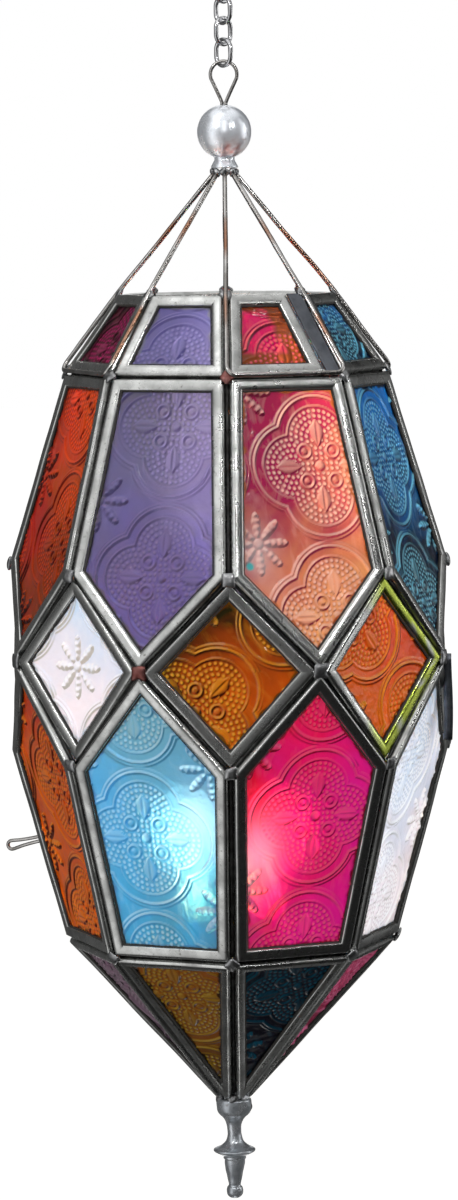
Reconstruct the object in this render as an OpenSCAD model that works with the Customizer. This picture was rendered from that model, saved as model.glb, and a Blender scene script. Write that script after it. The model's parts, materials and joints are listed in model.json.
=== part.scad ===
// Hanging glass lantern with eight sides, five tiers of framed panes, a side door and a tealight.
// The origin is the bearing point at the top of the hanging ring, +Z up, the front faces -Y.
// Heights of the body are counted from the widest ring, up for the upper half, down for the lower.

/* [Body shape] */
// Corner radius of the widest ring
mid_r = 71.5; // [66:0.5:78]
// Corner radius of the shoulder, where the crown begins
shoulder_r = 49.9; // [45:0.5:54]
// Height of the shoulder above the widest ring
shoulder_rise = 90.2; // [82:0.5:98]
// Corner radius of the open crown mouth
crown_r = 32.3; // [28:0.5:36]
// Height of the crown above the shoulder
crown_rise = 25; // [20:0.5:30]
// Height of the diamonds' top corners above the widest ring
diamond_rise = 28.7; // [25:0.5:33]
// Depth of the diamonds' bottom corners below the widest ring
diamond_drop = 31; // [27:0.5:35]
// Corner radius of the ring that carries the candle plate
tray_r = 51.8; // [48:0.5:56]
// Depth of that ring below the widest ring
tray_drop = 93.7; // [86:0.5:100]
// Corner radius where the lower cone ends
nose_r = 3.3; // [3:0.1:4.5]
// Depth of the lower cone below the candle ring
nose_drop = 53.1; // [46:0.5:60]

/* [Frames] */
// Width of a frame's face
came_w = 4; // [3:0.1:5]
// Width of a frame's face on the lower cone
cone_came_w = 3.2; // [2.6:0.1:4]
// Depth of a frame, square to its pane
came_d = 3.5; // [3:0.1:4.5]
// Thickness of the frame behind the pane's edge
came_wall = 0.8; // [0.5:0.1:1.2]
// Gap on each side of the line where two frames meet
seam_gap = 0.15; // [0.1:0.05:0.3]
// Radius of a solder bead
bead_r = 2; // [1.6:0.1:2.3]
// Width of the tin strip beside the narrow crown pane
strip_w = 5; // [4:0.1:6]
// Thickness of that strip
strip_t = 0.8; // [0.5:0.1:1.2]

/* [Glass] */
// Thickness of a pane
glass_t = 2; // [1.6:0.1:2.2]
// Clearance of a pane in its channel
glass_gap = 0.1; // [0.05:0.01:0.2]

/* [Hanger] */
// Radius of the hanger wires
wire_r = 0.75; // [0.6:0.05:0.9]
// Bend radius at a hanger wire's lower corners
wire_bend = 3; // [2.5:0.1:4]
// Clearance of a wire to what it lies against
wire_gap = 0.2; // [0.1:0.05:0.3]
// Height of the neck's foot above the crown mouth
neck_rise = 41.8; // [38:0.5:48]
// Radius of the circle on which the wires meet the neck
neck_ring_r = 2.9; // [2.6:0.1:3.4]
// Height of the neck collar
collar_h = 3.6; // [3:0.1:5]
// Radius of the neck collar at its foot
collar_foot_r = 4.4; // [4:0.1:5]
// Radius of the neck collar at its top
collar_top_r = 3.4; // [3:0.1:4]
// Radius of the ball
ball_r = 8.8; // [7.5:0.1:10]
// Radius of the bore through ball and collar
ball_bore_r = 1.55; // [1.5:0.05:1.8]
// Radius of the wire of the eye above the ball
eye_wire_r = 0.6; // [0.5:0.05:0.7]
// Radius of the eye's round top, at the wire's middle
eye_r = 4.3; // [3.8:0.1:5]
// Height of the eye above the ball
eye_h = 14.6; // [12:0.1:17]

/* [Chain] */
// Radius of the chain wire
link_wire_r = 0.75; // [0.6:0.05:0.85]
// Outer length of a link
link_l = 10; // [9.4:0.1:12]
// Outer width of a link
link_w = 8; // [7.4:0.1:9]
// Play between two links
link_play = 0.15; // [0.1:0.01:0.2]
// Radius of the hanging ring, at the wire's middle
ring_r = 8; // [7:0.1:10]
// Radius of the hanging ring's wire
ring_wire_r = 1; // [0.9:0.05:1.2]

/* [Door] */
// Gap all round the door
door_gap = 0.4; // [0.3:0.05:0.6]
// Radius of the hinge pin
pin_r = 0.7; // [0.6:0.05:0.8]
// Running clearance of the hinge pin
pin_gap = 0.08; // [0.05:0.01:0.1]
// Outer radius of a hinge knuckle
knuckle_r = 1.35; // [1.2:0.05:1.5]
// Length of a hinge knuckle
knuckle_l = 5; // [4:0.5:6]
// Gap between two hinge knuckles
knuckle_gap = 0.3; // [0.2:0.05:0.5]
// Distance of the hinge line out from the corner line of the frames
hinge_out = 4.3; // [4.1:0.05:4.6]
// Width of a hinge leaf on a frame's face
leaf_w = 3.4; // [2.5:0.1:3.8]
// Thickness of a hinge leaf
leaf_t = 0.4; // [0.3:0.05:0.6]
// Length of the wire handle
handle_l = 13; // [10:0.5:16]
// Outer width of the wire handle
handle_w = 4; // [3.4:0.1:5]
// Radius of the handle's wire
handle_wire_r = 0.6; // [0.5:0.05:0.7]

/* [Candle] */
// Thickness of the candle plate
plate_t = 0.8; // [0.6:0.1:1.2]
// Gap between the candle plate and the frames
plate_gap = 0.6; // [0.5:0.05:0.9]
// Height of the rim that keeps the tealight in place
rim_h = 3; // [2:0.1:4]
// Thickness of that rim
rim_t = 0.5; // [0.4:0.1:0.8]
// Gap round the tealight in its rim
rim_gap = 0.6; // [0.4:0.1:1]
// Radius of the tealight cup
cup_r = 19; // [18:0.5:20]
// Height of the tealight cup
cup_h = 15; // [12:0.5:18]
// Thickness of the cup's metal
cup_t = 0.4; // [0.3:0.05:0.6]
// Height of the wax in the cup
wax_h = 11.5; // [9:0.5:13]
// Gap between wax and cup
wax_gap = 0.1; // [0.05:0.05:0.2]
// Radius of the wick
wick_r = 0.7; // [0.5:0.05:0.9]
// Height of the wick above the wax
wick_h = 6; // [4:0.5:8]
// Gap under the tealight
seat_gap = 0.2; // [0.1:0.05:0.3]

/* [Finial] */
// Radius of the finial's socket
socket_r = 5.8; // [5.4:0.1:6.4]
// Height of the socket
socket_h = 5.2; // [4.5:0.1:6]
// Radius of the spigot inside the cone
spigot_r = 2.3; // [2:0.1:2.5]
// Height of that spigot
spigot_h = 5; // [4:0.5:7]
// Radius of the finial's waist
waist_r = 2.3; // [2:0.1:2.8]
// Depth of the waist under the socket
waist_drop = 5.7; // [5:0.1:7]
// Radius of the finial's disc
disc_r = 6.8; // [6:0.1:7.6]
// Depth of the disc under the waist
disc_drop = 6.1; // [5:0.1:7]
// Thickness of the disc's edge
disc_t = 0.9; // [0.6:0.1:1.4]
// Radius of the finial's stem under the disc
stem_r = 3.7; // [3.2:0.1:4.4]
// Length of the finial's stem
stem_l = 9.4; // [8:0.2:12]
// Radius of the stem at its end
stem_end_r = 1.9; // [1.6:0.1:2.4]
// Radius of the finial's end ball
tip_r = 2.7; // [2.4:0.1:3.2]

/* [Hidden] */
$fn = 48;

// Overrun of a cut, so that it passes right through
cut = came_d / 10;

// The body is an octagon, so each ring has a corner radius and a shorter radius to its flats
SIDES = 8;
STEP = 360 / SIDES;
flat_share = cos(STEP / 2);
half_share = sin(STEP / 2);

function flat(r) = r * flat_share;
function half(r) = r * half_share;

// The pentagons are flat, so the diamonds' top and bottom corners follow from the rings
belt_flat = mid_r - (mid_r - flat(shoulder_r)) * diamond_rise / shoulder_rise;
belt_r = belt_flat / flat_share;
low_flat = mid_r - (mid_r - flat(tray_r)) * diamond_drop / tray_drop;
low_r = low_flat / flat_share;

// Lean of each tier's panes from upright, positive where the outside looks up
crown_tilt = atan2(flat(shoulder_r) - flat(crown_r), crown_rise);
upper_tilt = atan2(mid_r - flat(shoulder_r), shoulder_rise);
lower_tilt = -atan2(mid_r - flat(tray_r), tray_drop);
cone_tilt = -atan2(flat(tray_r) - flat(nose_r), nose_drop);

// Heights that add up from the widest ring to the bearing point of the hanging ring
crown_z = shoulder_rise + crown_rise;
neck_z = crown_z + neck_rise;
collar_top_z = neck_z + collar_h;
ball_z = collar_top_z + sqrt(ball_r * ball_r - collar_top_r * collar_top_r);
eye_top_z = ball_z + ball_r + eye_h;
link_pitch = link_l - 4 * link_wire_r - link_play;
eye_axis_z = eye_top_z - eye_wire_r;
last_bend_z = eye_axis_z - eye_wire_r - link_wire_r - link_play;
first_link_z = last_bend_z + link_l / 2 - link_wire_r;
ring_z = first_link_z + 3 * link_pitch + link_l / 2 - link_wire_r * 2 - ring_wire_r - link_play + ring_r;
mid_z = -(ring_z + ring_r - ring_wire_r);
tray_z = -tray_drop;
nose_z = tray_z - nose_drop;

module lift() translate([0, 0, mid_z]) children();

// A face's frame of reference: x along the pane, y up the pane, z out of the lantern
module on_face(az, foot, z, tilt)
    rotate([0, 0, az])
        translate([0, -foot, z])
            rotate([90 - tilt, 0, 0])
                children();

// Turn of the pane at place k: faces lie between the corners, diamonds on them
function face_az(k) = STEP / 2 + STEP * k;

function unit(v) = v / norm(v);
function left(v) = [-v[1], v[0]];
function edge(p, i) = unit(p[(i + 1) % len(p)] - p[i % len(p)]);

// A convex outline, listed anticlockwise, drawn in by d all round
function inset(p, d) = [
    for (i = [0 : len(p) - 1])
        let (a = left(edge(p, i + len(p) - 1)), b = left(edge(p, i)))
            p[i] + (a + b) * d / (1 + a * b)
];

// Outlines of the panes at the frames' back faces
upper_y = [0, diamond_rise, shoulder_rise] / cos(upper_tilt);
lower_y = [0, diamond_drop, tray_drop] / cos(lower_tilt);
crown_len = crown_rise / cos(crown_tilt);
cone_len = nose_drop / cos(cone_tilt);
upper_outline = [
    [0, 0], [half(belt_r), upper_y[1]], [half(shoulder_r), upper_y[2]],
    [-half(shoulder_r), upper_y[2]], [-half(belt_r), upper_y[1]]
];
lower_outline = [
    [0, 0], [-half(low_r), -lower_y[1]], [-half(tray_r), -lower_y[2]],
    [half(tray_r), -lower_y[2]], [half(low_r), -lower_y[1]]
];
diamond_outline = [[0, -diamond_drop], [half(mid_r), 0], [0, diamond_rise], [-half(mid_r), 0]];
function crown_outline(right) = [
    [-half(shoulder_r), 0], [half(shoulder_r) - right, 0],
    [half(crown_r) - right, crown_len], [-half(crown_r), crown_len]
];

// The cone's panes come almost to a point, so their sides are drawn in from the full triangle
cone_apex = cone_len * half(tray_r) / (half(tray_r) - half(nose_r));
cone_half = atan2(half(tray_r), cone_apex);
function cone_side(y, d) = (cone_apex - y) * tan(cone_half) - d / cos(cone_half);
function cone_band(d, short) = [
    [-cone_side(cone_len - short, d), short - cone_len], [cone_side(cone_len - short, d), short - cone_len],
    [cone_side(d, d), -d], [-cone_side(d, d), -d]
];
cone_triangle = [[0, -cone_apex], [half(tray_r), 0], [-half(tray_r), 0]];

// A frame bent from channel round the edge of a pane
slot_t = glass_t + 2 * glass_gap;
slot_in = seam_gap + came_wall;
pane_in = slot_in + glass_gap;

module came(outer, window, slot) {
    difference() {
        linear_extrude(came_d) polygon(outer);
        translate([0, 0, -cut]) linear_extrude(came_d + 2 * cut) polygon(window);
        translate([0, 0, (came_d - slot_t) / 2]) linear_extrude(slot_t) polygon(slot);
    }
}

module came_for(outline, gap = seam_gap)
    came(inset(outline, gap), inset(outline, came_w), inset(outline, gap + came_wall));

module pane(outline)
    translate([0, 0, (came_d - glass_t) / 2]) linear_extrude(glass_t) polygon(outline);

// A round wire swept along points; a closed one joins its end to its start
WIRE_SIDES = 8;
function path_dir(p, i, closed) =
    let (n = len(p), a = closed ? (i + n - 1) % n : max(i - 1, 0), b = closed ? (i + 1) % n : min(i + 1, n - 1))
        unit(p[b] - p[a]);

module wire(p, r, side, closed = false) {
    n = len(p);
    points = [
        for (i = [0 : n - 1])
            let (t = path_dir(p, i, closed), u = unit(cross(side, t)), v = cross(t, u))
                for (j = [0 : WIRE_SIDES - 1])
                    p[i] + r * (u * cos(360 * (j + 0.5) / WIRE_SIDES) + v * sin(360 * (j + 0.5) / WIRE_SIDES))
    ];
    rings = closed ? n : n - 1;
    walls = [
        for (i = [0 : rings - 1], j = [0 : WIRE_SIDES - 1])
            let (a = i * WIRE_SIDES, b = ((i + 1) % n) * WIRE_SIDES, k = (j + 1) % WIRE_SIDES)
                [a + j, a + k, b + k, b + j]
    ];
    caps = closed ? [] : [
        [for (j = [WIRE_SIDES - 1 : -1 : 0]) j],
        [for (j = [0 : WIRE_SIDES - 1]) (n - 1) * WIRE_SIDES + j]
    ];
    polyhedron(points, concat(walls, caps), convexity = 4);
}

function arc(centre, r, from, to, steps) = [
    for (i = [0 : steps])
        let (a = from + (to - from) * i / steps)
            centre + r * [cos(a), 0, sin(a)]
];

// Chain and hanging ring
module hanging_ring() {
    color("#9a9ca0") lift() translate([0, 0, ring_z]) rotate([0, 0, -STEP])
        rotate([90, 0, 0]) rotate_extrude() translate([ring_r, 0]) circle(ring_wire_r, $fn = 24);
}

// Link k counts down from the ring, and each stands square to the next
module chain_link(k) {
    bend = link_w / 2 - link_wire_r;
    rise = link_l / 2 - link_wire_r - bend;
    path = concat(arc([0, 0, rise], bend, 0, 180, 10), arc([0, 0, -rise], bend, 180, 360, 10));
    color("#a5a7aa") lift() translate([0, 0, first_link_z + (4 - k) * link_pitch])
        rotate([0, 0, k % 2 == 1 ? STEP : -STEP])
            wire(path, link_wire_r, [0, 1, 0], true);
}

// The eye is one wire: up through the ball, round and down again; its arc goes a little below level
eye_turn = 30;
function turned_back(p) = [for (i = [1 : len(p) - 1]) let (q = p[len(p) - 1 - i]) [-q[0], 0, q[2]]];
module hanging_eye() {
    leg = eye_wire_r + link_play / 2;
    open_z = ball_z + ball_r;
    side = arc([0, 0, eye_axis_z - eye_r], eye_r, -eye_turn, 90, 8);
    right = concat([[leg, 0, neck_z + collar_h / 4], [leg, 0, ball_z], [leg, 0, open_z]], side);
    color("#77787a") lift() wire(concat(right, turned_back(right)), eye_wire_r, [0, 1, 0]);
}

module ball() {
    color("#c3c5c8") lift() difference() {
        translate([0, 0, ball_z]) sphere(ball_r);
        translate([0, 0, ball_z - 2 * ball_r]) cylinder(h = 4 * ball_r, r = ball_bore_r);
        translate([0, 0, collar_top_z + seam_gap - ball_r]) cylinder(h = ball_r, r = ball_r);
    }
}

module neck_collar() {
    color("#b0b2b5") lift() translate([0, 0, neck_z]) difference() {
        cylinder(h = collar_h, r1 = collar_foot_r, r2 = collar_top_r);
        translate([0, 0, -cut]) cylinder(h = collar_h + 2 * cut, r = ball_bore_r);
    }
}

// Hanger wires lie in the grooves between the crown frames; g is the way out of such a groove
crown_lean = atan2(sin(crown_tilt), cos(crown_tilt) * flat_share);
groove_half = acos(norm([sin(crown_tilt), cos(crown_tilt) * flat_share]));
groove_out = (wire_r + wire_gap + seam_gap) / sin(groove_half);
rim_lean = (crown_tilt + upper_tilt) / 2;
rim_out = came_d / cos((crown_tilt - upper_tilt) / 2) + wire_r + wire_gap;

function out_of(az, r, z, lean, d) = [
    (r + d * cos(lean)) * sin(az), -(r + d * cos(lean)) * cos(az), z + d * sin(lean)
];

function quarter(a, b, c, r, steps) =
    let (u = unit(a - b), v = unit(c - b), w = acos(u * v) / 2, t = r / tan(w), m = b + unit(u + v) * r / sin(w))
        [for (i = [0 : steps])
            let (e = b + u * t - m, f = b + v * t - m, s = i / steps)
                m + r * unit(e * (1 - s) + f * s)];

module hanger_wire(k) {
    az = face_az(k);
    low = [for (s = [-1, 1]) out_of(az + s * STEP / 2, shoulder_r, shoulder_rise, rim_lean, rim_out)];
    top = [for (s = [-1, 1]) out_of(az + s * STEP / 2, crown_r, crown_z, crown_lean, groove_out)];
    neck = [for (s = [-1, 1]) out_of(az + s * STEP / 2, neck_ring_r, neck_z - wire_gap - wire_r, 0, 0)];
    path = concat(
        [neck[0], top[0]],
        quarter(top[0], low[0], low[1], wire_bend, 4),
        quarter(low[0], low[1], top[1], wire_bend, 4),
        [top[1], neck[1]]);
    outward = [sin(az) * cos(crown_tilt), -cos(az) * cos(crown_tilt), sin(crown_tilt)];
    wire(path, wire_r, outward);
}

// Every second crown pane has a wire round it
WIRED = [0 : 2 : SIDES - 1];
module hanger_wires() color("#6f7072") lift() for (k = WIRED) hanger_wire(k);

// Frames, one tier at a time; the crown's pane at place 0 is narrower, with a tin strip beside it
NARROW = 0;
function crown_cut(k) = k == NARROW ? strip_w : 0;
module on_crown(k) on_face(face_az(k), flat(shoulder_r), shoulder_rise, crown_tilt) children();
module on_upper(k) on_face(face_az(k), mid_r, 0, upper_tilt) children();
module on_diamond(k) on_face(STEP * k, flat(mid_r), 0, 0) children();
module on_lower(k) on_face(face_az(k), mid_r, 0, lower_tilt) children();
module on_cone(k) on_face(face_az(k), flat(tray_r), tray_z, cone_tilt) children();

// The door takes the place of one lower pane, on the left next to the back
ALL = [0 : SIDES - 1];
DOOR = SIDES / 2 + 1;
WALLS = [for (k = ALL) if (k != DOOR) k];
DOOR_CORNERS = [DOOR, (DOOR + 1) % SIDES];

module crown_frames() color("#a9a89f") lift() for (k = ALL) on_crown(k) came_for(crown_outline(crown_cut(k)));
module upper_frames() color("#a9a89f") lift() for (k = ALL) on_upper(k) came_for(upper_outline);
module diamond_frames() color("#a9a89f") lift() for (k = ALL) on_diamond(k) came_for(diamond_outline);
module lower_frames() color("#a9a89f") lift() for (k = WALLS) on_lower(k) came_for(lower_outline);
module cone_frames() {
    color("#a9a89f") lift() for (k = ALL) on_cone(k)
        came(cone_band(seam_gap, seam_gap), inset(cone_triangle, cone_came_w), cone_band(slot_in, came_d));
}

module crown_strip() {
    near = crown_outline(strip_w - seam_gap);
    far = crown_outline(seam_gap);
    end = [0, seam_gap];
    color("#5c5f66") lift() on_crown(NARROW) translate([0, 0, came_d - strip_t])
        linear_extrude(strip_t) polygon([near[1] + end, far[1] + end, far[2] - end, near[2] - end]);
}

// Solder beads at the corners where frames meet, none where the door's frame would touch them
bead_out = came_d + bead_r / 5;
upper_lean = atan2(sin(upper_tilt), cos(upper_tilt) * flat_share);
lower_lean = atan2(sin(lower_tilt), cos(lower_tilt) * flat_share);
cone_lean = atan2(sin(cone_tilt), cos(cone_tilt) * flat_share);
module bead(az, r, z, lean) translate(out_of(az, r, z, lean, bead_out)) sphere(bead_r, $fn = 24);

module solder_beads() {
    color("#8d8e90") lift() {
        for (k = ALL) {
            bead(STEP * k, crown_r, crown_z, crown_lean);
            bead(STEP * k, shoulder_r, shoulder_rise, (crown_lean + upper_lean) / 2);
            bead(STEP * k, belt_r, diamond_rise, upper_lean / 2);
        }
        for (k = WALLS) bead(face_az(k), mid_r, 0, 0);
        for (k = ALL) if (len(search(k, DOOR_CORNERS)) == 0) {
            bead(STEP * k, low_r, -diamond_drop, lower_lean / 2);
            bead(STEP * k, tray_r, tray_z, (lower_lean + cone_lean) / 2);
        }
    }
}

// Panes, each a node of its own in the large tiers, grouped by colour in the crown and the cone
crown_colors = ["#c01060", "#0a6fa8", "#6b0f3a", "#7c70b0"];
cone_colors = ["#0c1528", "#b02050", "#6a4a5c", "#8a5010"];
upper_colors = ["#d0586a", "#0f78b8", "#7c7096", "#d41f20", "#0f78b8", "#c9405e", "#c8400f", "#7c7096"];
diamond_colors = ["#d07808", "#c04a0c", "#d8e0ea", "#6ab4d8", "#d07808", "#c04a0c", "#e01848", "#d8e0ea"];
lower_colors = ["#e01848", "#efe8e0", "#6ab4d8", "#d05010", "#e01848", "#6ab4d8", "#d05010", "#6ab4d8"];

module crown_glass(n)
    color(crown_colors[n], 0.6) lift() for (k = [n, n + SIDES / 2])
        on_crown(k) pane(inset(crown_outline(crown_cut(k)), pane_in));
module upper_glass(k) color(upper_colors[k], 0.6) lift() on_upper(k) pane(inset(upper_outline, pane_in));
module diamond_glass(k) color(diamond_colors[k], 0.6) lift() on_diamond(k) pane(inset(diamond_outline, pane_in));
module lower_glass(n) color(lower_colors[WALLS[n]], 0.6) lift() on_lower(WALLS[n]) pane(inset(lower_outline, pane_in));
module cone_glass(n)
    color(cone_colors[n], 0.6) lift() for (k = [n, n + SIDES / 2])
        on_cone(k) pane(cone_band(pane_in, came_d + glass_gap));

// Door: one lower pentagon, hinged along the corner line at its left as seen from outside
door_pane_in = door_gap + came_wall + glass_gap;
module door_frame() color("#a9a89f") lift() on_lower(DOOR) came_for(lower_outline, door_gap);
module door_glass() color(lower_colors[DOOR], 0.6) lift() on_lower(DOOR) pane(inset(lower_outline, door_pane_in));

// The hinge line runs beside the corner line from the low ring to the tray ring
hinge_az = face_az(DOOR) - STEP / 2;
hinge_low = out_of(hinge_az, tray_r, tray_z, lower_lean, hinge_out);
hinge_high = out_of(hinge_az, low_r, -diamond_drop, lower_lean, hinge_out);
hinge_dir = unit(hinge_high - hinge_low);
hinge_len = norm(hinge_high - hinge_low);
knuckle_pitch = knuckle_l + knuckle_gap;
KNUCKLES = 5;
hinge_start = (hinge_len - KNUCKLES * knuckle_pitch) / 2;
groove_angle = acos(norm([sin(lower_tilt), cos(lower_tilt) * flat_share]));

// On the hinge line, z runs up it and y points out of the groove
hinge_turn_y = acos(hinge_dir[2]);
module on_hinge(along)
    translate(hinge_low + hinge_dir * along)
        rotate([0, 0, hinge_az])
            rotate([hinge_turn_y, 0, 0])
                rotate([0, 0, 180])
                    children();

// Distance of the frames' front faces from the hinge line, and of their front corners beside it
face_under = hinge_out * cos(groove_angle) - came_d;
corner_beside = hinge_out * sin(groove_angle);
leaf_root = (pin_r + pin_gap + knuckle_r) / 2;

module knuckle(side) {
    difference() {
        union() {
            cylinder(h = knuckle_l, r = knuckle_r);
            rotate([0, 0, side * groove_angle]) translate([0, wire_gap / 4 - face_under, 0])
                translate([side > 0 ? -corner_beside - leaf_w : leaf_root, 0, 0])
                    cube([corner_beside + leaf_w - leaf_root, leaf_t, knuckle_l]);
        }
        translate([0, 0, -cut]) cylinder(h = knuckle_l + 2 * cut, r = pin_r + pin_gap);
    }
}

module door_knuckles()
    color("#9b9b96") lift() for (i = [1 : 2 : KNUCKLES - 1]) on_hinge(hinge_start + i * knuckle_pitch) knuckle(1);
module frame_knuckles()
    color("#9b9b96") lift() for (i = [0 : 2 : KNUCKLES - 1]) on_hinge(hinge_start + i * knuckle_pitch) knuckle(-1);
module hinge_pin()
    color("#7a7b7d") lift() on_hinge(hinge_start - knuckle_gap)
        cylinder(h = KNUCKLES * knuckle_pitch + knuckle_gap, r = pin_r, $fn = 24);

// The handle is a loop of wire that stands out of the door's free stile, halfway down it
handle_share = 0.5;
module door_handle() {
    bend = handle_w / 2 - handle_wire_r;
    outer = inset(lower_outline, (door_gap + came_w) / 2);
    foot = outer[4] * handle_share + outer[3] * (1 - handle_share);
    start = came_d + wire_gap / 2;
    tip = start + handle_l - handle_wire_r - bend;
    loop = arc([0, 0, tip], bend, 0, 180, 8);
    color("#55565a") lift() on_lower(DOOR) translate([foot[0], foot[1], 0]) rotate([0, 0, 90])
        wire(concat([[bend, 0, start]], loop, [[-bend, 0, start]]), handle_wire_r, [0, 1, 0]);
}

// Candle plate and tealight
plate_top = tray_z + plate_t / 2;
module candle_plate() {
    color("#8f8f8a") lift() {
        translate([0, 0, tray_z - plate_t / 2]) linear_extrude(plate_t) polygon([
            for (k = ALL) (flat(tray_r) - plate_gap) / flat_share * [sin(STEP * k), -cos(STEP * k)]
        ]);
        translate([0, 0, tray_z]) difference() {
            cylinder(h = rim_h + plate_t / 2, r = cup_r + rim_gap + rim_t);
            translate([0, 0, plate_t / 2]) cylinder(h = rim_h + cut, r = cup_r + rim_gap);
        }
    }
}

cup_z = plate_top + seat_gap;
wax_z = cup_z + cup_t + wax_gap;
module candle_cup() {
    color("#c9c9cc") lift() translate([0, 0, cup_z]) difference() {
        cylinder(h = cup_h, r = cup_r);
        translate([0, 0, cup_t]) cylinder(h = cup_h, r = cup_r - cup_t);
    }
}

module candle_wax() {
    color("#f2ede0") lift() translate([0, 0, wax_z]) difference() {
        cylinder(h = wax_h, r = cup_r - cup_t - wax_gap);
        translate([0, 0, -cut]) cylinder(h = wax_h + 2 * cut, r = wick_r + wax_gap);
    }
}

module candle_wick() color("#3a3028") lift() translate([0, 0, wax_z]) cylinder(h = wax_h + wick_h, r = wick_r);

// Finial, turned in one piece, with a spigot that stands in the open end of the cone.
// Each stretch lists its points as shares of its radius and of its height, going down.
finial_top = nose_z + came_d * sin(cone_tilt) - 2 * seam_gap;
socket_shares = [[0.96, 0], [1, 0.3], [1, 0.7], [0.9, 1]];
waist_shares = [[1.5, 0.35], [1, 0.75], [1, 1]];
flare_shares = [[0.19, 0.5], [0.75, 0.85], [1, 1]];
stem_shares = [[1.15, 0], [0.9, 0.08], [1, 0.18], [0.85, 0.42]];
stem_start_share = 0.7;
tip_seat_share = 0.6;
function stretch(shares, r, h, top, inner = 0) = [for (s = shares) [inner + s[0] * (r - inner), top - s[1] * h]];

module finial() {
    waist_z = -socket_h - waist_drop;
    disc_z = waist_z - disc_drop;
    stem_z = disc_z - disc_t - (disc_r - stem_r) * stem_start_share;
    end_z = stem_z - stem_l;
    profile = concat(
        [[0, spigot_h], [spigot_r, spigot_h], [spigot_r, 0]],
        stretch(socket_shares, socket_r, socket_h, 0),
        stretch(waist_shares, waist_r, waist_drop, -socket_h),
        stretch(flare_shares, disc_r, disc_drop, waist_z, waist_r),
        [[disc_r, disc_z - disc_t]],
        stretch(stem_shares, stem_r, stem_l, stem_z),
        [[stem_end_r, end_z], [0, end_z]]);
    color("#8c8e90") lift() translate([0, 0, finial_top]) {
        rotate_extrude() polygon(profile);
        translate([0, 0, end_z - tip_r * tip_seat_share]) sphere(tip_r);
    }
}

hanging_ring();
chain_link(1);  // chain_link_1
chain_link(2);  // chain_link_2
chain_link(3);  // chain_link_3
chain_link(4);  // chain_link_4
hanging_eye();
ball();
neck_collar();
hanger_wires();
crown_strip();
crown_frames();
upper_frames();
diamond_frames();
lower_frames();
cone_frames();
solder_beads();
finial();
candle_plate();
candle_cup();
candle_wax();
candle_wick();
door_frame();
door_glass();
door_handle();
hinge_pin();
door_knuckles();
frame_knuckles();
crown_glass(0);  // crown_glass_1
crown_glass(1);  // crown_glass_2
crown_glass(2);  // crown_glass_3
crown_glass(3);  // crown_glass_4
upper_glass(0);  // upper_glass_1
upper_glass(1);  // upper_glass_2
upper_glass(2);  // upper_glass_3
upper_glass(3);  // upper_glass_4
upper_glass(4);  // upper_glass_5
upper_glass(5);  // upper_glass_6
upper_glass(6);  // upper_glass_7
upper_glass(7);  // upper_glass_8
diamond_glass(0);  // diamond_glass_1
diamond_glass(1);  // diamond_glass_2
diamond_glass(2);  // diamond_glass_3
diamond_glass(3);  // diamond_glass_4
diamond_glass(4);  // diamond_glass_5
diamond_glass(5);  // diamond_glass_6
diamond_glass(6);  // diamond_glass_7
diamond_glass(7);  // diamond_glass_8
lower_glass(0);  // lower_glass_1
lower_glass(1);  // lower_glass_2
lower_glass(2);  // lower_glass_3
lower_glass(3);  // lower_glass_4
lower_glass(4);  // lower_glass_5
lower_glass(5);  // lower_glass_6
lower_glass(6);  // lower_glass_7
cone_glass(0);  // cone_glass_1
cone_glass(1);  // cone_glass_2
cone_glass(2);  // cone_glass_3
cone_glass(3);  // cone_glass_4
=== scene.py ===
import json
import math

import bpy
import numpy as np
from mathutils import Matrix, Vector

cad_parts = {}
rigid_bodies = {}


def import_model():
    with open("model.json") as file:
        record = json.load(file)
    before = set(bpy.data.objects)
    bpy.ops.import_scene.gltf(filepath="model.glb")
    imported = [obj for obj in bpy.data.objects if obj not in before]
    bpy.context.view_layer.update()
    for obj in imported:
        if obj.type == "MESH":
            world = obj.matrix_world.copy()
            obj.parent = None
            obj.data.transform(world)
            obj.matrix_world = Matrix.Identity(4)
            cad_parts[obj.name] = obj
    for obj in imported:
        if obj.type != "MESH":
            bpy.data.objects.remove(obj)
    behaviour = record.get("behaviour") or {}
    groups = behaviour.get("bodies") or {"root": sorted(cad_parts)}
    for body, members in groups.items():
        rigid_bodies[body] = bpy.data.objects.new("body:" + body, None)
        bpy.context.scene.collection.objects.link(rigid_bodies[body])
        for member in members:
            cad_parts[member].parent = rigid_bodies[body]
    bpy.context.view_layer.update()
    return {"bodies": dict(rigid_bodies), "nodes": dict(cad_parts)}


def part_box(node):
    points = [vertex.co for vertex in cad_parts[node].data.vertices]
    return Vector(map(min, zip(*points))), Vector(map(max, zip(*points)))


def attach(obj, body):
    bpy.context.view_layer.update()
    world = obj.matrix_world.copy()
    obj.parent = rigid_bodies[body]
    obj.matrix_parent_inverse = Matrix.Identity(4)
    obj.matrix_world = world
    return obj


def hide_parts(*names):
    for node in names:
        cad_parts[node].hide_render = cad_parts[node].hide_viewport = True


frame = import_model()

# Sizes, in mm as in the part's source: R radius, W width, H height, L length, T thickness.
# Corner radii of the eight-sided body, and heights between its rings
MID_R, SHOULDER_R, SHOULDER_RISE = 71.5, 49.9, 90.2
CROWN_R, CROWN_RISE = 32.3, 25.0
DIAMOND_RISE, DIAMOND_DROP = 28.7, 31.0
TRAY_R, TRAY_DROP, NOSE_R, NOSE_DROP = 51.8, 93.7, 3.3, 53.1
# Frames and the gaps between them, the tin strip of the crown, and the glass
CAME_W, CONE_CAME_W, CAME_D, CAME_WALL, SEAM_GAP = 4.0, 3.2, 3.5, 0.8, 0.15
STRIP_W, STRIP_T = 5.0, 0.8
GLASS_T, GLASS_GAP = 2.0, 0.1
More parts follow.
